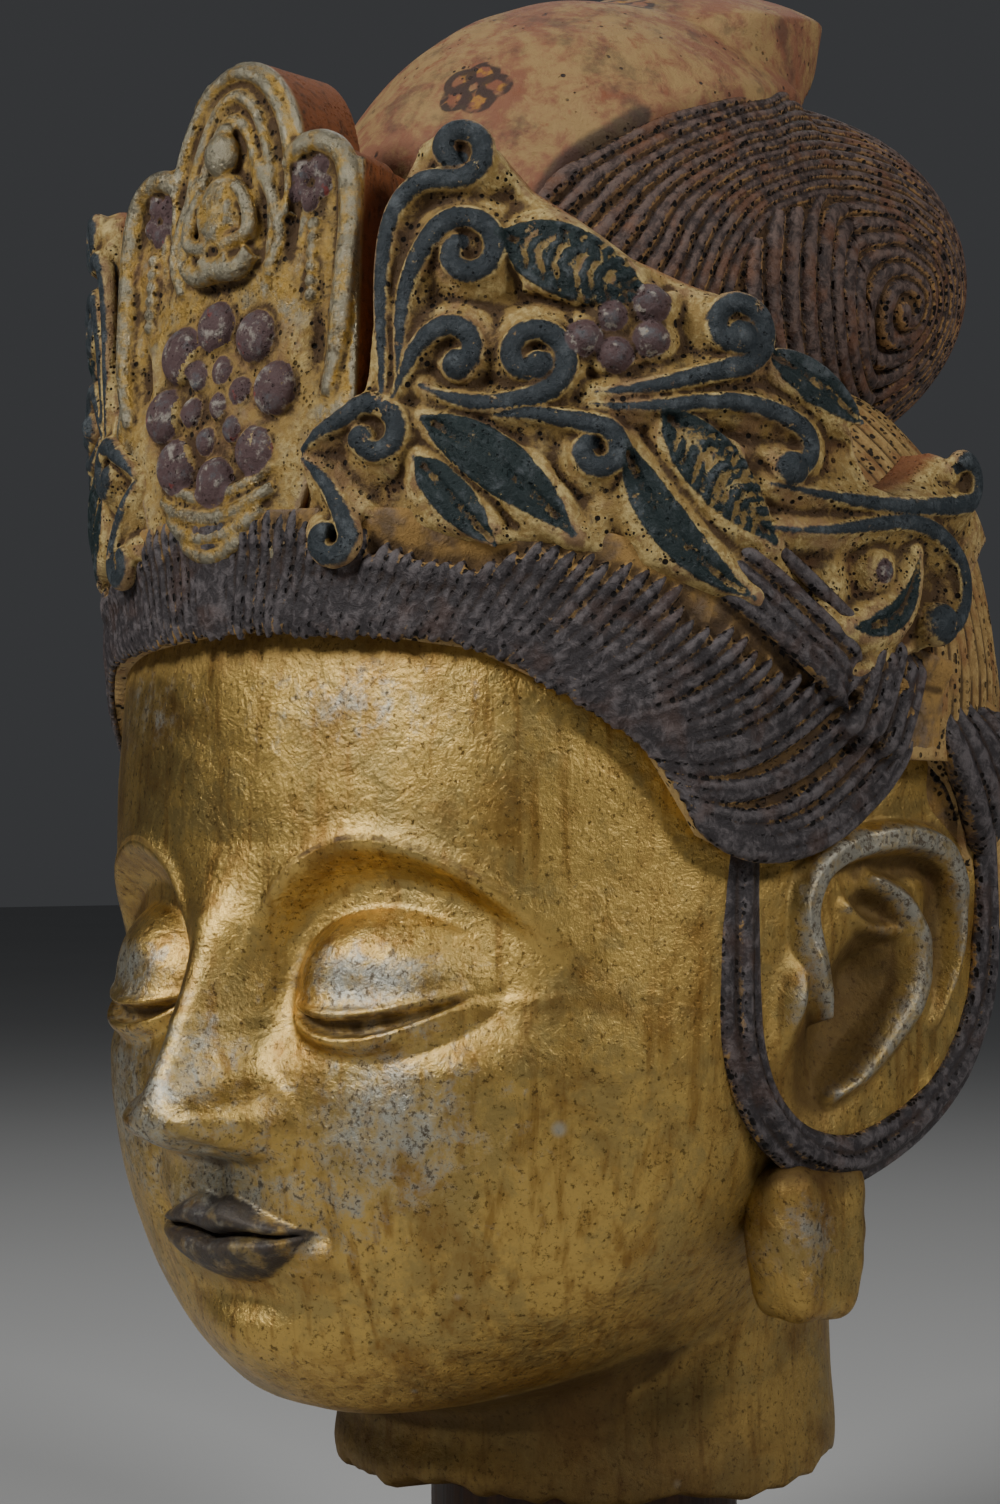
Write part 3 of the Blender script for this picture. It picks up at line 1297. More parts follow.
@dataclass(frozen=True)
class Scroll:
    """A stem that runs into a curl, in millimetres on the crown's wall.

    The stem leaves its start at a heading, and meets the curl's circle at the entry angle. Turn is 1 for a
    curl that winds anticlockwise as seen from outside.
    """

    start: tuple[float, float]
    heading: float
    curl: tuple[float, float]
    radius: float
    turn: int
    entry: float
    knob: float = 0.0
    turns: float = 1.05
    width: float = 2.4

    def line(self) -> Line:
        """The scroll's middle line, laid out flat."""
        entry = math.radians(self.entry)
        centre, start = np.array(self.curl), np.array(self.start)
        edge = centre + self.radius * np.array([math.cos(entry), math.sin(entry)])
        tangent = self.turn * np.array([-math.sin(entry), math.cos(entry)])
        reach = np.linalg.norm(edge - start) * 0.4
        leaving = np.array([math.cos(math.radians(self.heading)), math.sin(math.radians(self.heading))])
        stem = bezier(start, start + leaving * reach, edge - tangent * reach, edge, 30)
        t = np.linspace(0, 1, 50)[1:]
        angle = entry + self.turn * t * self.turns * 2 * math.pi
        radius = self.radius * (1 - 0.72 * t * min(1.0, self.turns))
        curl = centre + np.stack([np.cos(angle), np.sin(angle)], axis=1) * radius[:, None]
        points = np.concatenate([stem, curl]) * MM
        swell = np.interp(np.linspace(0, 1, len(points)), (0, 0.12, 0.35, 0.9, 1), (0.35, 0.7, 1, 1, 0.8))
        return Line(points, self.width * MM * swell)


@dataclass(frozen=True)
class Leaf:
    """A leaf in millimetres on the crown's wall. Bow is its sideways bend, and veins its side ribs."""

    base: tuple[float, float]
    tip: tuple[float, float]
    width: float
    bow: float = 0.0
    veins: int = 0

    def line(self) -> Line:
        """The leaf's middle line, laid out flat, with its half width along it."""
        base, tip = np.array(self.base, float), np.array(self.tip, float)
        along = tip - base
        across = np.array([-along[1], along[0]]) / np.linalg.norm(along)
        middle = (base + tip) / 2 + across * self.bow * 2
        t = np.linspace(0, 1, 30)[:, None]
        path = (1 - t) ** 2 * base + 2 * (1 - t) * t * middle + t**2 * tip
        half = self.width / 2 * np.sin(np.pi * np.clip(t[:, 0] ** 0.85, 0.03, 0.97)) ** 0.65
        return Line(path * MM, half * MM)

    def ribs(self) -> list[Line]:
        """The grooves cut in the leaf: its midrib, and its veins on both sides."""
        middle = self.line()
        lines = [Line(middle.points[2:-2], 0.0005)]
        for k in range(self.veins):
            at = int(4 + 20 * k / max(1, self.veins - 1))
            along = middle.points[at + 2] - middle.points[at]
            along /= np.linalg.norm(along)
            for hand in (-1, 1):
                across = np.array([-along[1], along[0]]) * hand
                end = middle.points[at] + (along * 0.7 + across) * middle.radii()[at] * 0.8
                lines.append(Line(np.array([middle.points[at], end]), 0.0004))
        return lines


@dataclass
class CrownSide:
    """One of the crown's side panels: scrolls, leaves and berries on a pierced-looking ground."""

    side: Side
    ground: float = 0.002
    thickness: float = 0.01
    start: float = 0.0175
    end: float = 0.183
    grain: float = 0.00056
    upper: tuple[tuple[float, float], ...] = (
        (17.5, 197), (21, 206), (26, 211), (33, 214), (36, 216), (39, 236), (42, 250), (46, 262), (54, 265),
        (61, 259), (67, 252), (75, 247), (85, 240), (95, 236), (104, 233), (110, 226), (118, 220),
        (130, 211), (134, 202), (140, 200), (148, 203),
        (157, 209), (165, 206), (175, 200), (183, 195))
    lower: tuple[tuple[float, float], ...] = (
        (17.5, 190), (24, 187), (30, 189), (36, 191), (42, 189), (54, 187), (71, 185), (88, 181), (103, 176),
        (118, 169), (132, 162), (145, 167), (156, 171), (168, 182), (178, 190), (183, 193))
    scrolls: tuple[Scroll, ...] = (
        Scroll((40, 212), 88, (54, 258.5), 5.4, 1, -100),
        Scroll((43, 218), 86, (55.5, 240), 6.8, -1, 140),
        Scroll((42, 214), 60, (53, 222), 4.6, -1, 110, knob=3.3, turns=0.5),
        Scroll((47, 216), -30, (67, 220.5), 6.8, 1, -70, knob=3.0),
        Scroll((60, 210), 5, (78, 203.5), 4.6, -1, 80, turns=0.9),
        Scroll((78, 214), 5, (103, 226.5), 6.8, 1, -75, knob=3.6),
        Scroll((77, 212), -8, (113.5, 205), 5.0, -1, 60, knob=3.6, turns=0.4),
        Scroll((24, 205), 50, (38.5, 207.5), 5.8, -1, 125, knob=2.8, turns=0.8),
        Scroll((24, 204), -40, (30, 188.5), 3.9, -1, 20, turns=0.8),
        Scroll((110, 198.5), -8, (161, 204), 5.0, 1, -80, turns=0.6),
        Scroll((111, 190.5), -6, (152, 181), 9.0, -1, 50, knob=4.4, turns=0.42),
    )
    leaves: tuple[Leaf, ...] = (
        Leaf((61.5, 243), (87.5, 231.5), 14.0, veins=7),
        Leaf((110, 223), (131.5, 211.5), 9.0),
        Leaf((90, 211), (111, 188), 12.5, veins=9),
        Leaf((83, 205.5), (107, 177.5), 9.0, bow=-4),
        Leaf((47.5, 210), (74, 188.5), 11.0, bow=1.5),
        Leaf((46, 203), (60.5, 186.5), 8.5),
        Leaf((128, 173), (146, 188), 6.5, bow=-5),
    )
    berries: tuple[tuple[float, float, float], ...] = (
        (76, 224, 3.2), (81, 228, 2.6), (81.5, 221, 3.2), (88, 224, 3.2), (88, 230.5, 3.4), (136, 184, 2.2))

    def bed(self, beyond: Callable[[Array], Array]) -> Piece:
        """The panel's ground, which swells beside the ornament and sinks away from it."""
        distance = np.linspace(self.start, self.end, 280)
        upper, lower = np.array(self.upper) * MM, np.array(self.lower) * MM
        low, high = np.interp(distance, *lower.T), np.interp(distance, *upper.T)
        place = WALL.mirrored(self.side)
        rings = []
        for at, bottom, top in zip(distance, low, high):
            z = np.linspace(bottom, top, 90)
            flat = np.stack([np.full(90, at), z], axis=1)
            edge = np.minimum(z - bottom, top - z) / MM
            away = beyond(flat)
            swell = 0.0013 * hill(np.clip(away, 0, None) / 1.6)
            dip = (0.0021 * step((away - 2.6) / 1.5) * (0.55 + 0.55 * ripple(flat, 0.013, 11))
                * step((edge - 2) / 2))
            curl = (-0.0042 * np.clip(1 - edge / 3.2, 0, 1) ** 1.8
                - 0.004 * np.clip(1 - (at - self.start) / 0.007, 0, 1))
            outer = np.c_[flat, self.ground + swell - np.clip(dip, -0.0004, 0.0034) + curl]
            inner = np.c_[flat[::-1], np.full(90, self.ground - self.thickness)]
            rings.append(place(np.concatenate([outer, inner])))
        return stacked("bed", rings)

    def build(self) -> Piece:
        """Lays the ornament on the ground and runs it together."""
        place = WALL.mirrored(self.side)
        stems = [scroll.line() for scroll in self.scrolls]
        leaves = [leaf.line() for leaf in self.leaves]
        knobs = [Line(line.points[-2:], scroll.knob * MM) for line,
            scroll in zip(stems, self.scrolls) if scroll.knob]
        beads = [Line(np.array([(u, z), (u, z + 0.01)]) * MM, radius * MM) for u, z, radius in self.berries]

        def raised(line: Line, lift: float) -> Line:
            return Line(np.c_[line.points, np.full(len(line.points), self.ground + lift)], line.radius)

        def flattened(points: Array) -> Array:
            points = points.copy()
            points[:, 2] = self.ground + (points[:, 2] - self.ground) * 0.55
            return place(points)

        eggs = [Lump((*line.points[0], self.ground + 0.0012), (line.radii()[0],) * 3) for line in knobs]
        eggs += [Lump((*line.points[0], self.ground + 0.0004), (line.radii()[0],) * 3) for line in beads]
        drawn = Field(stems + knobs + beads + leaves, 0.0007)
        forms = [self.bed(drawn.beyond), ropes("scrolls", [raised(line, 0.0012) for line in stems], place),
                 lumps("knobs", eggs, place),
                 ropes("leaves", [raised(line, 0.0) for line in leaves], flattened)]
        piece = fused(f"crown_side_{self.side.name.lower()}", forms, self.grain, softness=1, kept=0.47)
        flat = WALL.unwrap(points_of(piece)) * (self.side.value, 1, 1)
        leaf = Field(leaves).beyond(flat)
        ribs = Field([rib for item in self.leaves for rib in item.ribs()]).beyond(flat)
        cut = 0.0007 * hill(np.clip(ribs, 0, None) / 0.45) * step((-leaf - 0.6) / 0.5)
        cut -= 0.0004 * hill((leaf + 1.1) / 0.6)
        cut *= step((flat[:, 2] - self.ground) / 0.0005)
        points = points_of(piece) - normals_of(piece) * cut[:, None]
        move_points(piece, points)
        outside = np.where(flat[:, 2] < self.ground - 0.001, 6.0, 0.0)
        note(piece, scroll=np.minimum(Field(stems).beyond(flat), Field(knobs).beyond(flat)) + outside,
            leaf=leaf + outside, rib=ribs + outside, berry=Field(beads).beyond(flat) + outside,
            lift=flat[:, 2] / MM, hollow=hollowness(piece, 30))
        return piece


@dataclass
class Plaque:
    """The crown's front plaque: a seated figure in a double halo over a flower, in a beaded frame."""

    half_width: float = 0.0345
    foot: float = 0.185
    shoulder: float = 0.264
    top: float = 0.284
    arch_half: float = 0.02
    lift: float = 0.0005
    thickness: float = 0.02
    lean: float = 0.075
    lean_from: float = 0.212
    flower: float = 217.0
    petals: int = 8
    grain: float = 0.00056

    def place(self, flat: Array) -> Array:
        """Wraps flat points on the plaque, which is flatter than the wall and leans back as it rises."""
        flat = np.array(flat, float)
        flatter = 0.5 * WALL.radius * (1 - np.cos(flat[:, 0] / WALL.radius))
        flat[:, 2] += flatter - self.lean * np.clip(flat[:, 1] - self.lean_from, 0, None)
        return WALL.wrap(flat)

    def unplace(self, points: Array) -> Array:
        """The plaque's points laid out flat again."""
        flat = WALL.unwrap(points)
        flatter = 0.5 * WALL.radius * (1 - np.cos(flat[:, 0] / WALL.radius))
        flat[:, 2] -= flatter - self.lean * np.clip(flat[:, 1] - self.lean_from, 0, None)
        return flat

    def bed(self) -> Piece:
        """The plaque's body: two shoulders, and a taller round arch between them."""
        distance = np.linspace(-self.half_width, self.half_width, 120)
        arch = np.sqrt(np.clip(1 - np.square(distance / self.arch_half), 0, 1))
        rim = np.clip((np.abs(distance) / self.half_width - 0.78) / 0.22, 0, 1)
        high = np.maximum(self.shoulder - 0.011 * rim**2,
            self.shoulder - 0.004 + (self.top - self.shoulder + 0.004) * arch)
        low = self.foot + 0.026 * step((np.abs(distance) - 0.0235) / 0.0085)
        rings = []
        for at, bottom, up in zip(distance, low, high):
            z = np.linspace(bottom, up, 70)
            flat = np.stack([np.full(70, at), z], axis=1)
            outer = np.c_[flat, self.lift + 0.0005 * ripple(flat, 0.016, 21)]
            inner = np.c_[flat[::-1], np.full(70, self.lift - self.thickness)]
            rings.append(self.place(np.concatenate([outer, inner])))
        return stacked("bed", rings)

    def rounds(self) -> list[Line]:
        """Halo, frame, arms, legs and lotus folds, laid out flat with their lift."""
        lines = []
        for half, top, foot, radius in ((17.4, 281.5, 256.0, 1.5), (13.4, 277.0, 246.0, 1.4),
                (9.4, 272.2, 250.0, 1.4)):
            t = np.linspace(-0.2, math.pi + 0.2, 60)
            arch = np.stack([half * np.cos(t), foot + (top - foot) * np.sin(t)], axis=1) * MM
            lines.append(Line(np.c_[arch, np.full(60, self.lift)], radius * MM))
        for hand in (-1, 1):
            frame_line = np.array([(16.5, 260.0), (20.0, 263.6), (26.0, 263.8), (31.0, 259.5), (32.4, 249),
                                   (31.6, 236), (30.4, 224), (28.6, 215.5)])
            frame_line = smooth_between(frame_line * (hand, 1) * MM, 90)
            taper = np.interp(np.linspace(0, 1, 90), (0, 0.1, 0.8, 1), (0.6, 1, 1, 0.5))
            lines.append(Line(np.c_[frame_line, np.full(90, self.lift + 0.0004)], 0.0024 * taper))
            sash = smooth_between(np.array([(8.5, 262.5), (13.2, 255), (15.6, 247), (13.0, 241.5)])
                * (hand, 1) * MM, 40)
            lines.append(Line(np.c_[sash, np.full(40, self.lift + 0.0002)], 0.0016))
            arm = smooth_between(np.array([(4.6, 258.5), (8.2, 254), (8.2, 248.6), (1.5, 247.0)]) * (hand, 1)
                * MM, 24)
            lines.append(Line(np.c_[arm, np.full(24, self.lift + 0.0024)], 0.0016))
            for reach, drop in ((2.2, 0.0), (4.2, 1.6)):
                robe = np.array([(0.0, 251.5 - 1.6 * drop), (reach * 0.8, 253 - drop), (reach, 257 - drop)])
                robe = smooth_between(robe * (hand, 1) * MM, 16)
                lines.append(Line(np.c_[robe, np.full(16, self.lift + 0.004)], 0.0006))
            leg = smooth_between(np.array([(9.4, 245.0), (6, 242.2), (0, 242.6), (-4, 244.6)]) * (hand, 1)
                * MM, 24)
            lines.append(Line(np.c_[leg, np.full(24, self.lift + 0.0018)], 0.0022))
        for half, height, radius in ((16.0, 198.6, 1.6), (15.8, 194.6, 2.0), (13.6, 190.8, 2.0),
                (10.0, 187.4, 1.8)):
            t = np.linspace(-1, 1, 40)
            fold = np.stack([half * t, height + 5.0 * t * t], axis=1) * MM
            taper = np.interp(np.abs(t), (0, 0.7, 1), (1, 1, 0.5))
            lines.append(Line(np.c_[fold, np.full(40, self.lift + 0.0004)], radius * MM * taper))
        return lines

    def flower_parts(self) -> tuple[list[Lump], list[Line]]:
        """The flower's petals and stamens, as lumps, and as spots for their paint."""
        eggs, spots = [], []
        random = np.random.default_rng(8)
        circles = [(15.6, 5.4, self.petals, 0.96), (7.2, 2.8, 6, 0.3), (0.0, 2.6, 1, 0.0)]
        for ring, size, count, offset in circles:
            for k in range(count):
                angle = 2 * math.pi * (k + offset) / count
                at = np.array([ring * math.sin(angle), self.flower + ring * math.cos(angle) * 0.96])
                at = (at + random.uniform(-0.8, 0.8, 2)) * MM
                radius = size * random.uniform(0.86, 1.06) * MM
                eggs.append(Lump((*at, self.lift + 0.0001), (radius, radius, radius * 0.58)))
                spots.append(Line(np.array([at, at + 1e-5]), radius))
        for hand in (-1, 1):
            for x, z, size in ((20.6, 258.6, 2.3), (24.6, 259.2, 2.3), (25.8, 255.4, 2.2),
                    (22.6, 253.2, 2.3), (19.6, 255.2, 2.0)):
                at = np.array([x * hand, z]) * MM
                eggs.append(Lump((*at, self.lift - 0.0004), (size * MM,) * 2 + (size * MM * 0.8,)))
                spots.append(Line(np.array([at, at + 1e-5]), size * MM))
            for k in range(6):
                eggs.append(Lump((hand * 0.0238, 0.2484 - 0.0027 * k, self.lift), (0.0015, 0.0014, 0.0015)))
        return eggs, spots

    def figure(self) -> list[Lump]:
        """The seated figure's plain body and head."""
        return [
            Lump((0, 0.265, self.lift + 0.0024), (0.0036, 0.0045, 0.0034)),
            Lump((0, 0.2698, self.lift + 0.0018), (0.0018, 0.0018, 0.0016)),
            Lump((0, 0.2535, self.lift + 0.0008), (0.0068, 0.0085, 0.004)),
            Lump((0, 0.244, self.lift + 0.0002), (0.01, 0.004, 0.003)),
        ]

    def build(self) -> Piece:
        """Lays the relief on the plaque and runs it together."""
        eggs, spots = self.flower_parts()
        rounds = self.rounds()
        forms = [self.bed(), ropes("rounds", rounds, self.place),
            lumps("lumps", eggs + self.figure(), self.place)]
        piece = fused("crown_plaque", forms, self.grain, softness=1, kept=0.55)
        flat = self.unplace(points_of(piece))
        hollows = -0.0026 * hill((np.abs(flat[:, 0]) - 0.025) / 0.0024, (flat[:, 1] - 0.226) / 0.0052)
        hollows += -0.0016 * hill((np.abs(flat[:, 0]) - 0.0185) / 0.0012, (flat[:, 1] - 0.252) / 0.008)
        hollows *= step((flat[:, 2] + 0.0025) / 0.0015)
        move_points(piece, points_of(piece) + normals_of(piece) * hollows[:, None])
        note(piece, petal=Field(spots).beyond(flat) + np.where(flat[:, 2] < self.lift - 0.001, 6.0, 0.0),
            lift=flat[:, 2] / MM)
        inside = step((flat[:, 1] - 0.231) / 0.004)
        inside += step((0.203 - flat[:, 1]) / 0.003) * step((0.0165 - np.abs(flat[:, 0])) / 0.002)
        framed = step((np.abs(flat[:, 0]) - 0.0265) / 0.002)
        note(piece, gilt=np.clip(0.25 + inside + framed, 0, 1), hollow=hollowness(piece, 26))
        return piece


@dataclass
class Topknot:
    """The coiled hair on the crown of the head, and the cloth over its middle."""

    dome_centre: tuple[float, float, float] = (0.0, 0.006, 0.25)
    dome_reach: tuple[float, float, float] = (0.056, 0.069, 0.065)
    coil_centre: tuple[float, float, float] = (0.0, 0.047, 0.261)
    coil_reach: tuple[float, float, float] = (0.056, 0.055, 0.041)
    eye: tuple[float, float] = (0.047, 0.25)
    strands: int = 11
    first_crest: float = 7.25
    looped: int = 8
    groove_from: float = 0.211
    inner_path: tuple[tuple[float, float], ...] = (
        (-0.02, 0.228), (-0.0165, 0.24), (-0.0125, 0.252), (-0.0035, 0.2615), (0.013, 0.269),
        (0.031, 0.2725), (0.047, 0.2704))
    outer_path: tuple[tuple[float, float], ...] = (
        (-0.0545, 0.2535), (-0.0465, 0.2632), (-0.0386, 0.27), (-0.0211, 0.28), (0.005, 0.29),
        (0.027, 0.2985), (0.047, 0.3012))
    veil_thick: float = 0.0022
    tip: tuple[float, float] = (0.066, 0.3294)

    def on_skin(self, points: Array) -> Array:
        """Points pushed out or in to the skin that dome and coil share."""
        inside = np.array([0.0, 0.027, 0.245])
        reach = np.zeros(len(points))
        for centre, half in ((self.dome_centre, self.dome_reach), (self.coil_centre, self.coil_reach)):
            start, way = (inside - centre) / half, (points - inside) / half
            across, along = way @ start, np.sum(way * way, axis=1)
            reach = np.maximum(reach, (-across + np.sqrt(across**2 - along * (start @ start - 1))) / along)
        return inside + (points - inside) * reach[:, None]

    def beside(self, flat: Array) -> Array:
        """Side-view points (back, up) lifted out to the left side's skin."""
        out = []
        for centre, reach in ((self.dome_centre, self.dome_reach), (self.coil_centre, self.coil_reach)):
            rest = (1 - np.square((flat[:, 0] - centre[1]) / reach[1])
                - np.square((flat[:, 1] - centre[2]) / reach[2]))
            out.append(reach[0] * np.sqrt(np.clip(rest, 0.002, 1)))
        return self.on_skin(np.c_[np.maximum(*out), flat])

    def winding(self, turn: Array, count: Array) -> Array:
        """Side-view points of the coil at a turn in degrees (front, over the top, back, below) and a count."""
        pitch = smooth_read(turn % 360, ((0, 5.4), (25, 5.1), (50, 4.0), (90, 2.8), (140, 2.8),
                                         (180, 3.0), (230, 3.4), (270, 3.9), (310, 4.7),
                                         (335, 5.2), (360, 5.4))) * MM
        angle = np.radians(turn)
        reach = pitch * count
        return np.stack([self.eye[0] - reach * np.cos(angle), self.eye[1] + reach * np.sin(angle)], axis=1)

    def ridge_lines(self) -> list[Line]:
        """The strands on the left side: they rise from the front, pass over the coil and wind into it."""
        inner, outer = smooth_between(self.inner_path, 60), smooth_between(self.outer_path, 60)
        paths = []
        for k in range(self.strands + 1):
            share = k / self.strands
            lead = inner * (1 - share) + outer * share
            last = self.first_crest - 0.35 if k == 0 else 1.0
            turn = np.linspace(90, 90 + 360 * last, int(90 * last))[1:]
            count = self.first_crest + k - (turn - 90) / 360
            paths.append(self.beside(np.concatenate([lead, self.winding(turn, count)])))
        lines = []
        for k, path in enumerate(paths):
            if k == 0:
                path = path[:-20]
            elif k < self.looped:
                edge = np.interp(path[:, 1], inner[:, 0], inner[:, 1])
                above = np.flatnonzero((path[:, 2] > edge - 0.0008) & (np.arange(len(path)) > 115))
                path = path[: above[0]] if len(above) else path
            else:
                path = path[:118]
            rows = np.arange(len(path))
            near = np.where(np.abs(rows[:, None] - rows[None, :]) < 40, np.inf,
                            np.linalg.norm(path[:, None] - path[None, :], axis=2)).min(axis=1)
            for other in paths[max(0, k - 1): k] + paths[k + 1: k + 2]:
                near = np.minimum(near, np.linalg.norm(path[:, None] - other[None, :149], axis=2).min(axis=1))
            near = np.convolve(np.pad(near, 4, mode="edge"), np.ones(9) / 9, mode="valid")
            radius = np.clip(0.5 * near, 0.0011, 0.0026)
            lines.append(Line(path, radius))
        return lines

    def coil(self) -> Piece:
        """The coil and the hair at the sides of the dome: one skin, raised along every strand."""
        deselect()
        bpy.ops.mesh.primitive_ico_sphere_add(subdivisions=7, radius=0.05, location=(0, 0.027, 0.245))
        piece = bpy.context.active_object
        piece.name = piece.data.name = "topknot_coil"
        bpy.ops.object.transform_apply(location=True, rotation=False, scale=False)
        move_points(piece, self.on_skin(points_of(piece)))
        centres = np.empty(len(piece.data.polygons) * 3, np.float32)
        piece.data.polygons.foreach_get("center", centres)
        x, y, z = np.abs(centres.reshape(-1, 3).T)
        swing = np.degrees(np.arctan2(z - self.dome_centre[2],
            self.dome_centre[1] - centres.reshape(-1, 3)[:, 1]))
        seen = (z > self.groove_from) & ((x > self.veil_half(swing) - 0.004) | (swing > 118))
        with editing(piece):
            bpy.ops.mesh.select_mode(type="FACE")
            bpy.ops.mesh.select_all(action="DESELECT")
        piece.data.polygons.foreach_set("select", seen)
        choose(piece)
        bpy.ops.object.mode_set(mode="EDIT")
        bpy.ops.mesh.subdivide(number_cuts=1)
        bpy.ops.object.mode_set(mode="OBJECT")
        points = self.on_skin(points_of(piece))
        move_points(piece, points)
        lines = self.ridge_lines()
        everything = lines + [Line(line.points * (-1, 1, 1), line.radius) for line in lines]
        strands = Field(everything, 0.0005)
        distance, radius = strands.read(points + drift_of(points))
        share = np.clip(distance / radius, 0, 1)
        raised = 0.85 * radius * np.sqrt(1 - share**2) * step((points[:, 2] - self.groove_from) / 0.002)
        points = points + normals_of(piece) * raised[:, None]
        points[:, 2] = np.maximum(points[:, 2], self.groove_from - 0.003)
        move_points(piece, points)
        modify(piece, "DECIMATE", ratio=0.55)
        points = points_of(piece)
        crest = self.on_skin(points)
        note(piece, across=np.clip(strands.share(crest + drift_of(crest)), 0, 1), hollow=hollowness(piece, 8))
        return piece

    def veil_half(self, degrees: Array) -> Array:
        """Half the width of the cloth, at an angle over the dome from its front."""
        return smooth_read(degrees, ((-16, 0.03), (15, 0.0345), (36, 0.0415), (60, 0.0455), (92, 0.045),
                                     (112, 0.038), (120, 0.034)))

    def veil_skin(self) -> list[Array]:
        """Rings of a band that hugs the dome."""
        across = np.linspace(-1, 1, 61)
        rings = []
        for degrees in np.linspace(-14, 118, 150):
            x = self.veil_half(degrees) * across
            shell = np.sqrt(1 - np.square(x / (self.dome_reach[0] + 0.001)))
            layers = []
            for depth in (self.veil_thick, -0.006):
                reach = np.outer(self.dome_reach[1:], shell) + depth
                layers.append(np.stack([x, self.dome_centre[1] - reach[0] * math.cos(math.radians(degrees)),
                                        self.dome_centre[2] + reach[1] * math.sin(math.radians(degrees))],
                                        axis=1))
            rings.append(np.concatenate([layers[0], layers[1][::-1]]))
        return rings

    def tail(self) -> Piece:
        """The flap of the cloth behind the top, which rises to a blunt point."""
        line = smooth_between([(-0.004, 0.316), (0.012, 0.3222), (0.03, 0.3262), (0.047, 0.3284), self.tip], 90)
        half = smooth_between([0.02, 0.033, 0.034, 0.029, 0.016], 90)
        depth = smooth_between([0.006, 0.014, 0.024, 0.022, 0.006], 90)
        across = np.linspace(-1, 1, 41)
        rings = []
        for (y, z), reach, thick in zip(line, half, depth):
            fall = 0.34 * reach * across**2
            upper = np.stack([reach * across, np.full(41, y), z - fall], axis=1)
            rings.append(np.concatenate([upper, upper[::-1] - (0, 0.25 * thick, thick)]))
        return stacked("tail", rings)

    def flower_outlines(self) -> tuple[list[Line], list[Line]]:
        """Painted flowers as outlines and as petals, in angle round the dome and distance across it."""
        outlines, petals = [], []
        places = ((58, -0.012, 7.5), (82, 0.014, 7.0), (34, 0.016, 6.5), (104, -0.014, 6.5), (14, -0.01, 6.0))
        for degrees, across, size in places:
            centre = np.array([math.radians(degrees) * 0.067, across])
            for k in range(5):
                angle = 2 * math.pi * k / 5 + degrees
                middle = centre + size * 0.62 * MM * np.array([math.cos(angle), math.sin(angle)])
                t = np.linspace(0, 2 * math.pi, 22)
                ring = middle + size * 0.44 * MM * np.stack([np.cos(t), np.sin(t)], axis=1)
                away = np.linalg.norm(ring - centre, axis=1) > size * 0.34 * MM
                outlines.append(Line(ring[away], 0.0006))
                petals.append(Line(np.array([middle, middle + 1e-5]), size * 0.42 * MM))
        return outlines, petals

    def veil(self) -> Piece:
        """The cloth, with its painted flowers marked."""
        forms = [stacked("band", self.veil_skin()), self.tail()]
        piece = fused("veil", forms, 0.0011, softness=4, kept=0.65)
        points = points_of(piece)
        wave = 0.0005 * ripple(points, 0.024, 31)
        move_points(piece, points + normals_of(piece) * wave[:, None])
        swing = np.arctan2((points[:, 2] - self.dome_centre[2]) / self.dome_reach[2],
                           -(points[:, 1] - self.dome_centre[1]) / self.dome_reach[1])
        layout = np.stack([swing * 0.067, points[:, 0]], axis=1)
        outlines, petals = self.flower_outlines()
        note(piece, outline=Field(outlines).beyond(layout), petal=Field(petals).beyond(layout))
        hem = self.veil_half(np.degrees(swing)) - np.abs(points[:, 0])
        note(piece, hem=hem / MM + 12 * step((points[:, 1] + 0.022) / 0.008), hollow=hollowness(piece, 12))
        return piece


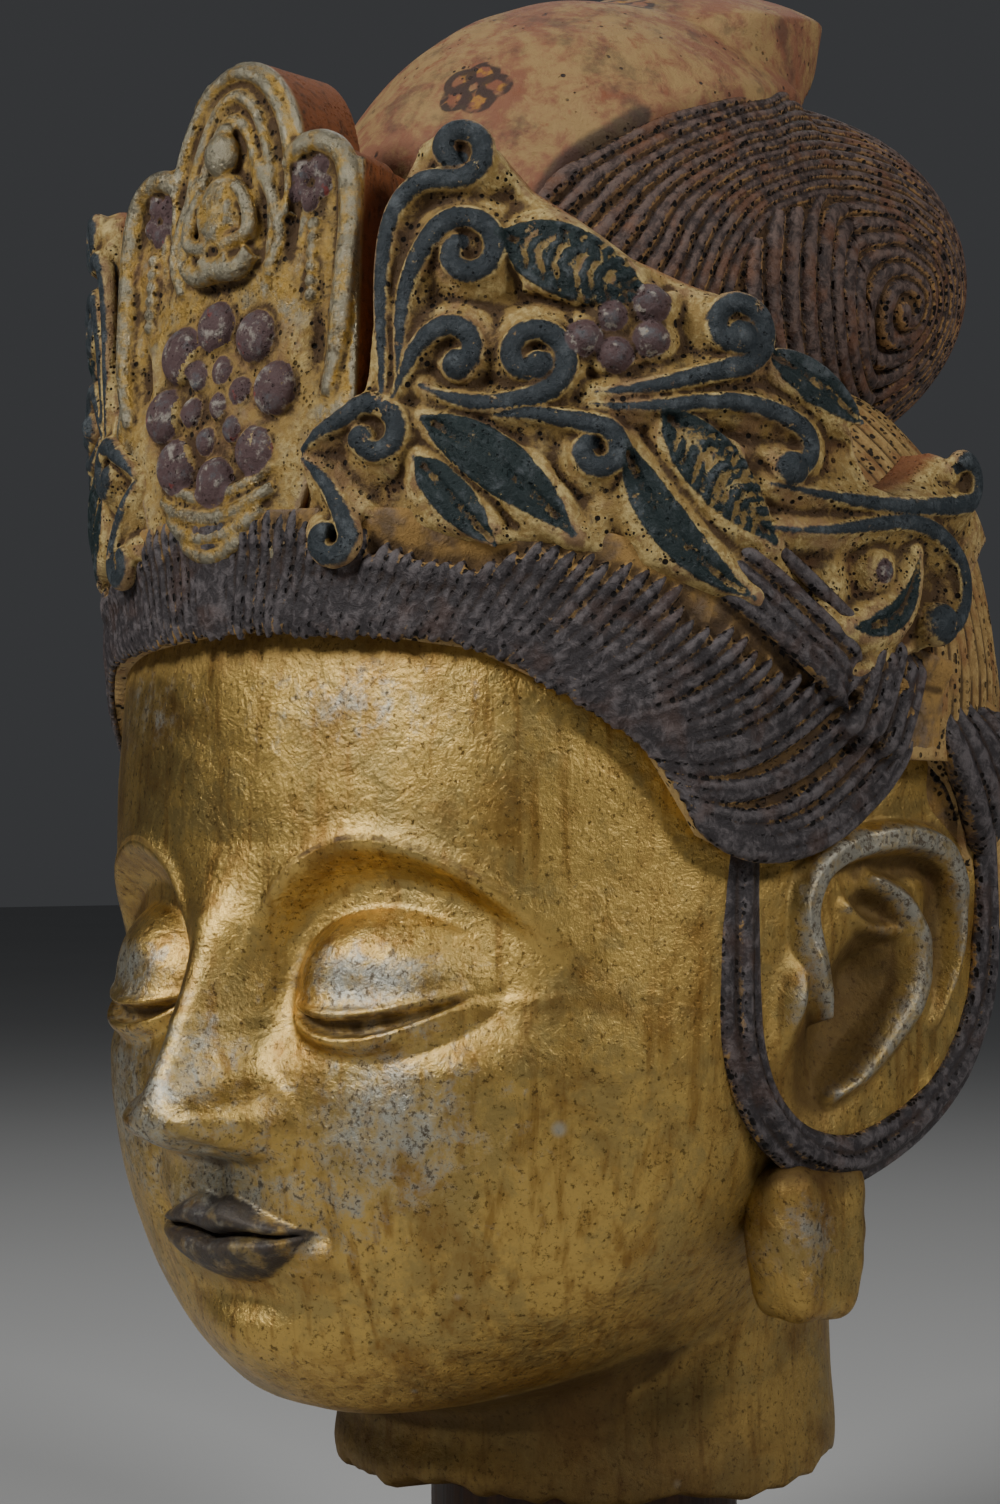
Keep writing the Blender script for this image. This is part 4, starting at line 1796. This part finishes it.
@dataclass
class Ear:
    """One ear with the hair looped round it, the long lobe below and the bound locks behind."""

    side: Side
    centre: tuple[float, float] = (-0.01, 0.107)
    loop_strands: int = 3
    loop_radius: float = 0.0019
    loop_path: tuple[tuple[float, float], ...] = (
        (-0.0415, 0.15), (-0.043, 0.125), (-0.043, 0.103), (-0.0415, 0.0925), (-0.037, 0.0828),
        (-0.0285, 0.075), (-0.016, 0.0715), (-0.0035, 0.0745), (0.0085, 0.0805), (0.019, 0.0895),
        (0.0258, 0.102), (0.0278, 0.118), (0.0268, 0.138), (0.024, 0.156))
    helix: tuple[tuple[float, float, float], ...] = (
        (-0.0235, 0.1, 1.2), (-0.0255, 0.107, 2.0), (-0.028, 0.1145, 2.5), (-0.0284, 0.1205, 2.7),
        (-0.0262, 0.1258, 2.7), (-0.0205, 0.1302, 2.7), (-0.0105, 0.1332, 2.7), (0.001, 0.134, 2.7),
        (0.0105, 0.1316, 2.7), (0.015, 0.1258, 2.4), (0.0162, 0.117, 1.7), (0.015, 0.1075, 1.4),
        (0.0105, 0.0975, 1.0))
    antihelix: tuple[tuple[float, float, float], ...] = (
        (-0.009, 0.1258, 1.2), (-0.001, 0.1215, 2.3), (0.0042, 0.113, 2.9), (0.0032, 0.104, 3.0),
        (-0.0035, 0.096, 2.8), (-0.012, 0.089, 2.3), (-0.02, 0.085, 1.4))
    lower_fold: tuple[tuple[float, float, float], ...] = (
        (0.001, 0.116, 1.6), (-0.0075, 0.116, 1.5), (-0.016, 0.1205, 1.2))
    lobe_size: tuple[float, float, float] = (0.015, 0.0235, 0.0305)
    lobe_centre: tuple[float, float, float] = (0.0762, -0.0215, 0.0567)

    def mirror(self, points: Array) -> Array:
        """Points drawn for the left ear, put on this side."""
        return points * (self.side.value, 1, 1)

    def name(self, part: str) -> str:
        """A part's name with this side's name after it."""
        return f"{part}_{self.side.name.lower()}"

    def ground(self, back: Array) -> Array:
        """How far out the skin round the ear lies, at a distance back."""
        return smooth_read(back, ((-0.052, 0.0765), (-0.044, 0.0785), (-0.03, 0.0808), (-0.01, 0.0828),
                                  (0.01, 0.0848), (0.03, 0.0862)))

    def relief(self, flat: Array) -> tuple[Array, Array, Array]:
        """The ear's height over its ground at side-view points, with how hollow and how raised they are."""
        def ridge(knots: tuple[tuple[float, float, float], ...], soft: float) -> Array:
            curve = smooth_between(knots, 120)
            distance, radius = Field([Line(curve[:, :2], curve[:, 2] * MM)]).read(flat)
            return step((radius - distance) / soft)

        y, z = flat.T
        rim, fold, lower = ridge(self.helix, 0.0013), ridge(self.antihelix, 0.0022), ridge(self.lower_fold,
            0.0014)
        fade = np.interp(z, (0.096, 0.124), (0.25, 1)) ** (y > 0.008)
        front = hill((y + 0.0308 - 0.16 * (z - 0.104)) / 0.0027, (z - 0.1035) / 0.0068)
        turn = math.radians(52)
        along = (y + 0.015) * math.cos(turn) + (z - 0.0985) * math.sin(turn)
        across = -(y + 0.015) * math.sin(turn) + (z - 0.0985) * math.cos(turn)
        bowl = hill(along / 0.015, across / 0.0072) + 0.5 * hill((y + 0.008) / 0.005, (z - 0.108) / 0.005)
        fossa = hill((y + 0.0085) / 0.0062, (z - 0.1208) / 0.0032)
        under = (hill((y - 0.001) / 0.0155, (z - 0.1277 - 0.03 * y) / 0.0024)
            + hill((y - 0.0105) / 0.003, (z - 0.116) / 0.012))
        high = np.maximum(0.004 * rim * fade, np.maximum(0.0034 * fold, 0.0018 * lower)) + 0.0036 * front
        keep = 1 - np.maximum(rim, 0.7 * fold)
        low = (0.007 * bowl + 0.0026 * fossa + 0.0022 * under) * np.clip(keep, 0.08, 1)
        return high - low, np.clip(low / 0.003, 0, 1.5), np.clip(high / 0.0035, 0, 1)

    def ear(self) -> Piece:
        """The ear and the skin round it, out to the hair that loops it."""
        outline = smooth_between(self.loop_path, 200)
        outline = np.concatenate([outline, np.linspace(outline[-1], outline[0], 60)[1:-1]])
        away = outline - np.array(self.centre)
        angles, reaches = np.arctan2(away[:, 1], away[:, 0]), np.hypot(*away.T)
        order = np.argsort(angles)
        around = np.linspace(-math.pi, math.pi, 241)[:-1]
        reach = np.interp(around, angles[order], reaches[order], period=2 * math.pi)
        shares = np.linspace(0.02, 1.0, 112)
        flats = [np.array(self.centre) + np.stack([np.cos(around), np.sin(around)],
            axis=1) * (reach * share)[:, None]
                 for share in shares]
        height = self.relief(np.concatenate(flats))[0]
        x = self.ground(np.concatenate(flats)[:, 0]) + height
        rings = list(np.c_[x, np.concatenate(flats)].reshape(len(shares), len(around), 3))
        skirt = rings[-1] * (0, 1, 1) + (0.064, 0, 0)
        piece = stacked(self.name("ear"), [self.mirror(ring) for ring in (*rings, skirt)])
        points = points_of(piece)
        flat = points[:, 1:]
        _, hollow, raised = self.relief(flat)
        visible = np.abs(points[:, 0]) > 0.068
        uneven = 0.00025 * ripple(points, 0.008, 41) + 0.00035 * ripple(points, 0.019, 42)
        points[:, 0] += self.side.value * uneven * visible
        move_points(piece, points)
        note(piece, hollow=hollow + 0.6 * hollowness(piece, 14), raised=raised)
        return piece

    def loop_lines(self) -> list[Line]:
        """The strands of hair that run down before the ear, round under it and up behind."""
        loop = smooth_between(self.loop_path, 170)
        share = np.linspace(0, 1, 170)
        x = self.ground(loop[:, 0]) + 0.0004
        away = loop - np.array(self.centre)
        away /= np.linalg.norm(away, axis=1)[:, None]
        lines = []
        for k in range(self.loop_strands):
            offset = (k - (self.loop_strands - 1) / 2) * self.loop_radius * 1.62
            wobble = 0.0003 * np.sin(share * 23 + k * 2)
            sunk = -0.0014 * (k - 1) ** 2 * (1.5 if k == 2 else 0.6)
            swell = 1 + 0.1 * np.sin(share * 17 + 2.2 * k)
            lines.append(Line(np.c_[x + sunk, loop + away * (offset + wobble[:, None])],
                self.loop_radius * swell))
        return lines

    def across(self, lines: list[Line], piece: Piece) -> Array:
        """How far each point of a piece is from its nearest strand, seen from the side, in strand radii."""
        return Field([Line(line.points[:, 1:], line.radius) for line in lines]).share(points_of(piece)[:, 1:])

    def loop(self) -> Piece:
        """The loop of hair."""
        lines = self.loop_lines()
        backing = [Line(lines[1].points - (0.0034, 0, 0), 0.004)]
        forms = [ropes("strands", lines, self.mirror), ropes("backing", backing, self.mirror)]
        piece = fused(self.name("hair_loop"), forms, 0.00058, kept=0.55)
        note(piece, across=self.across(lines, piece), hollow=hollowness(piece, 10))
        return piece

    def lobe(self) -> Piece:
        """The long lobe: a block with rounded edges, worn uneven."""
        deselect()
        bpy.ops.mesh.primitive_cube_add(size=1)
        piece = bpy.context.active_object
        piece.name = piece.data.name = self.name("ear_lobe")
        piece.data.transform(Matrix.Translation(self.lobe_centre) @ Matrix.Diagonal((*self.lobe_size, 1)))
        with editing(piece):
            bpy.ops.mesh.bevel(offset=0.0058, segments=6, affect="EDGES", profile=0.6)
        modify(piece, "REMESH", mode="VOXEL", voxel_size=0.0007)
        modify(piece, "SMOOTH", factor=0.5, iterations=10)
        points = points_of(piece)
        narrow = 1 - 0.3 * np.clip((0.062 - points[:, 2]) / 0.02, 0, 1) ** 2
        points[:, 1] = self.lobe_centre[1] + (points[:, 1] - self.lobe_centre[1]) * narrow
        points += (normals_of(piece) * (0.0007 * ripple(points, 0.018, 51)
            + 0.0002 * ripple(points, 0.006, 52))[:, None])
        move_points(piece, self.mirror(points))
        if self.side is Side.RIGHT:
            with editing(piece):
                bpy.ops.mesh.flip_normals()
        high = np.clip((points[:, 2] - 0.064) / 0.007, 0, 1)
        note(piece, hollow=hollowness(piece, 20) * 0.6 + 0.8 * high,
            raised=hill((points[:, 1] + 0.028) / 0.009, (points[:, 2] - 0.058) / 0.009) * 0.8)
        return piece

    def bundle(self) -> Piece:
        """Bound locks behind the ear, which curl over each other."""
        lines = []
        for k in range(6):
            t = np.linspace(0, 1, 34)
            start = np.array([0.0055 + 0.0055 * k, 0.163 - 0.001 * k])
            end = np.array([0.033 + 0.003 * k, 0.127 + 0.0068 * k])
            bend = start + (end - start) * 0.35 + np.array([-0.002, -0.0125 + 0.0012 * k])
            path = ((1 - t[:, None]) ** 2 * start + 2 * (1 - t[:, None]) * t[:, None] * bend
                + t[:, None] ** 2 * end)
            x = 0.0872 + 0.0056 * np.sin(np.pi * t) - 0.006 * t
            radius = 0.0031 * np.interp(t, (0, 0.2, 0.7, 1), (0.5, 1, 1, 0.45))
            lines.append(Line(np.c_[x, path], radius))
        core = [Lump((0.081, 0.025, 0.147), (0.0085, 0.0185, 0.0175))]
        forms = [ropes("locks", lines, self.mirror), lumps("core", core, self.mirror)]
        piece = fused(self.name("hair_bundle"), forms, 0.0007, kept=0.6)
        note(piece, across=self.across(lines, piece), hollow=hollowness(piece, 14))
        return piece


@dataclass
class Stand:
    """The round post and the square foot below the neck."""

    edge: float = 0.004
    collar: float = 0.008

    def post(self) -> Piece:
        """A turned post with a rounded collar at its foot."""
        low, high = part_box("stand_post")
        collar_radius = (high.x - low.x) / 2
        radius = collar_radius - 0.005
        deselect()
        bpy.ops.mesh.primitive_cylinder_add(vertices=96, radius=radius, depth=high.z - low.z,
                                            location=(0, 0, (high.z + low.z) / 2))
        piece = bpy.context.active_object
        piece.name = piece.data.name = "turned_post"
        bpy.ops.object.transform_apply(location=True, rotation=True, scale=True)
        with editing(piece):
            bpy.ops.mesh.bisect(plane_co=(0, 0, low.z + self.collar + 0.004), plane_no=(0, 0, 1))
        shape = bmesh.new()
        shape.from_mesh(piece.data)
        skirt = [f for f in shape.faces if abs(f.normal.z) < 0.5
                 and f.calc_center_median().z < low.z + self.collar]
        bmesh.ops.inset_region(shape, faces=skirt, thickness=0, depth=0)
        rings = bmesh.ops.extrude_face_region(shape, geom=skirt)
        moved = {v for v in rings["geom"] if isinstance(v, bmesh.types.BMVert)}
        for vertex in moved:
            flat = Vector((vertex.co.x, vertex.co.y, 0)).normalized() * collar_radius
            vertex.co.x, vertex.co.y = flat.x, flat.y
            if vertex.co.z > low.z + 0.001:
                vertex.co.z -= 0.0035
        bmesh.ops.delete(shape, geom=skirt, context="FACES")
        shape.to_mesh(piece.data)
        shape.free()
        with editing(piece):
            bpy.ops.mesh.remove_doubles(threshold=1e-6)
            bpy.ops.mesh.normals_make_consistent(inside=False)
        modify(piece, "BEVEL", width=0.0014, segments=4, limit_method="ANGLE", angle_limit=math.radians(40))
        return piece

    def foot(self) -> Piece:
        """A square block with softened upper edges."""
        low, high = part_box("stand_foot")
        deselect()
        bpy.ops.mesh.primitive_cube_add(size=1, location=(low + high) / 2, scale=high - low)
        piece = bpy.context.active_object
        piece.name = piece.data.name = "square_foot"
        bpy.ops.object.transform_apply(location=True, rotation=True, scale=True)
        modify(piece, "BEVEL", width=self.edge, segments=6, limit_method="ANGLE", angle_limit=math.radians(40))
        return piece


@dataclass
class Studio:
    """Pale floor, soft lights and the photograph's camera."""

    azimuth: float = 42.0
    distance: float = 0.59
    height: float = 0.1315
    focal_pixels: float = 2700.0
    frame_pixels: tuple[float, float] = (1000.0, 1504.0)
    axis_pixel: float = 583.0
    horizon_pixel: float = 850.0

    def camera(self) -> None:
        """Sets the camera where the photograph was taken from."""
        turn = math.radians(self.azimuth)
        wide, tall = self.frame_pixels
        aside = math.atan((self.axis_pixel - wide / 2) / self.focal_pixels)
        up = math.atan((self.horizon_pixel - tall / 2) / self.focal_pixels)
        spot = (self.distance * math.sin(turn), -self.distance * math.cos(turn), LIFT + self.height)
        bpy.ops.object.camera_add(location=spot, rotation=(math.pi / 2 + up, 0, turn + aside))
        camera = bpy.context.active_object
        camera.data.sensor_width = 36
        camera.data.lens = self.focal_pixels * 36 / tall
        camera.data.clip_start, camera.data.clip_end = 0.05, 40
        bpy.context.scene.camera = camera

    def light(self, azimuth: float, elevation: float, distance: float, size: float, watts: float) -> None:
        """A square soft light that faces the head."""
        turn, rise = math.radians(azimuth), math.radians(elevation)
        away = Vector((math.sin(turn) * math.cos(rise), -math.cos(turn) * math.cos(rise), math.sin(rise)))
        target = Vector((0, 0, LIFT + 0.15))
        bpy.ops.object.light_add(type="AREA", location=target + away * distance,
                                 rotation=away.to_track_quat("Z", "Y").to_euler())
        light = bpy.context.active_object.data
        light.size, light.energy = size, watts

    def build(self) -> None:
        """Floor, lights, world and camera."""
        deselect()
        bpy.ops.mesh.primitive_plane_add(size=14)
        floor = bpy.context.active_object
        floor.name = "floor"
        canvas = Canvas("pale_floor")
        shade = canvas.over((0.5, 0.5, 0.49), (0.54, 0.54, 0.53), canvas.noise(0.4, 3))
        floor.data.materials.append(canvas.done(shade, 0.85, 0.0,
            canvas.relief(canvas.noise(0.003), 0.0001, 0.3)))
        self.light(-8, 33, 1.15, 0.3, 9.5)
        self.light(92, 30, 1.15, 0.24, 6.0)
        self.light(215, 50, 1.3, 0.7, 2.0)
        world = bpy.data.worlds.new("studio")
        bpy.context.scene.world = world
        world.use_nodes = True
        backdrop = world.node_tree.nodes["Background"]
        backdrop.inputs["Color"].default_value = (0.6, 0.62, 0.66, 1)
        backdrop.inputs["Strength"].default_value = 0.07
        self.camera()


def finishes() -> dict[str, bpy.types.Material]:
    """Every finish, under the name of the piece that wears it."""
    gilding, crown = Gilding(), CrownPaint()
    dark, ear_gilt = HairPaint("dark_hair").material(), gilding.ear()
    combed = HairPaint("ochre_back_hair", ridge=(0.3, 0.185, 0.065), ridge_worn=(0.42, 0.275, 0.105),
                       groove=(0.2, 0.105, 0.038), rust=(0.2, 0.075, 0.028), rusty=0.6)
    coiled = HairPaint("coiled_hair", ridge=(0.044, 0.029, 0.025), ridge_worn=(0.145, 0.098, 0.08),
                       groove=(0.34, 0.19, 0.072), rust=(0.2, 0.078, 0.03), groove_edge=0.7, bare=0.45,
                       rusty=0.5)
    return {
        "face_and_neck": gilding.face(), "hair_front": dark, "hair_mass": combed.material(),
        "crown_side": crown.panel(), "crown_plaque": crown.plaque(), "topknot_coil": coiled.material(),
        "veil": ClothPaint().material(), "ear": ear_gilt, "ear_lobe": ear_gilt,
        "hair_loop": dark, "hair_bundle": dark,
        "turned_post": Wood("post_wood", (1, 1, 0.06)).material(),
        "square_foot": Wood("foot_wood", (0.06, 1, 1)).material(),
    }


def main() -> None:
    """Builds, dresses and reports every part of the head."""
    logging.basicConfig(level=logging.INFO, format="%(message)s")
    worn, knot, hair, stand = finishes(), Topknot(), Hair(), Stand()
    finish_piece(Face().build(), worn["face_and_neck"], ("head",))
    finish_piece(hair.front(), worn["hair_front"])
    finish_piece(hair.mass(), worn["hair_mass"])
    for side in Side:
        finish_piece(CrownSide(side).build(), worn["crown_side"])
        ear = Ear(side)
        finish_piece(ear.ear(), worn["ear"])
        finish_piece(ear.lobe(), worn["ear_lobe"])
        finish_piece(ear.loop(), worn["hair_loop"])
        finish_piece(ear.bundle(), worn["hair_bundle"])
    finish_piece(Plaque().build(), worn["crown_plaque"])
    finish_piece(knot.coil(), worn["topknot_coil"])
    finish_piece(knot.veil(), worn["veil"])
    finish_piece(stand.post(), worn["turned_post"], ("stand_post",), 0.0)
    finish_piece(stand.foot(), worn["square_foot"], ("stand_foot",), 0.0)
    Studio().build()


if __name__ == "__main__":
    main()
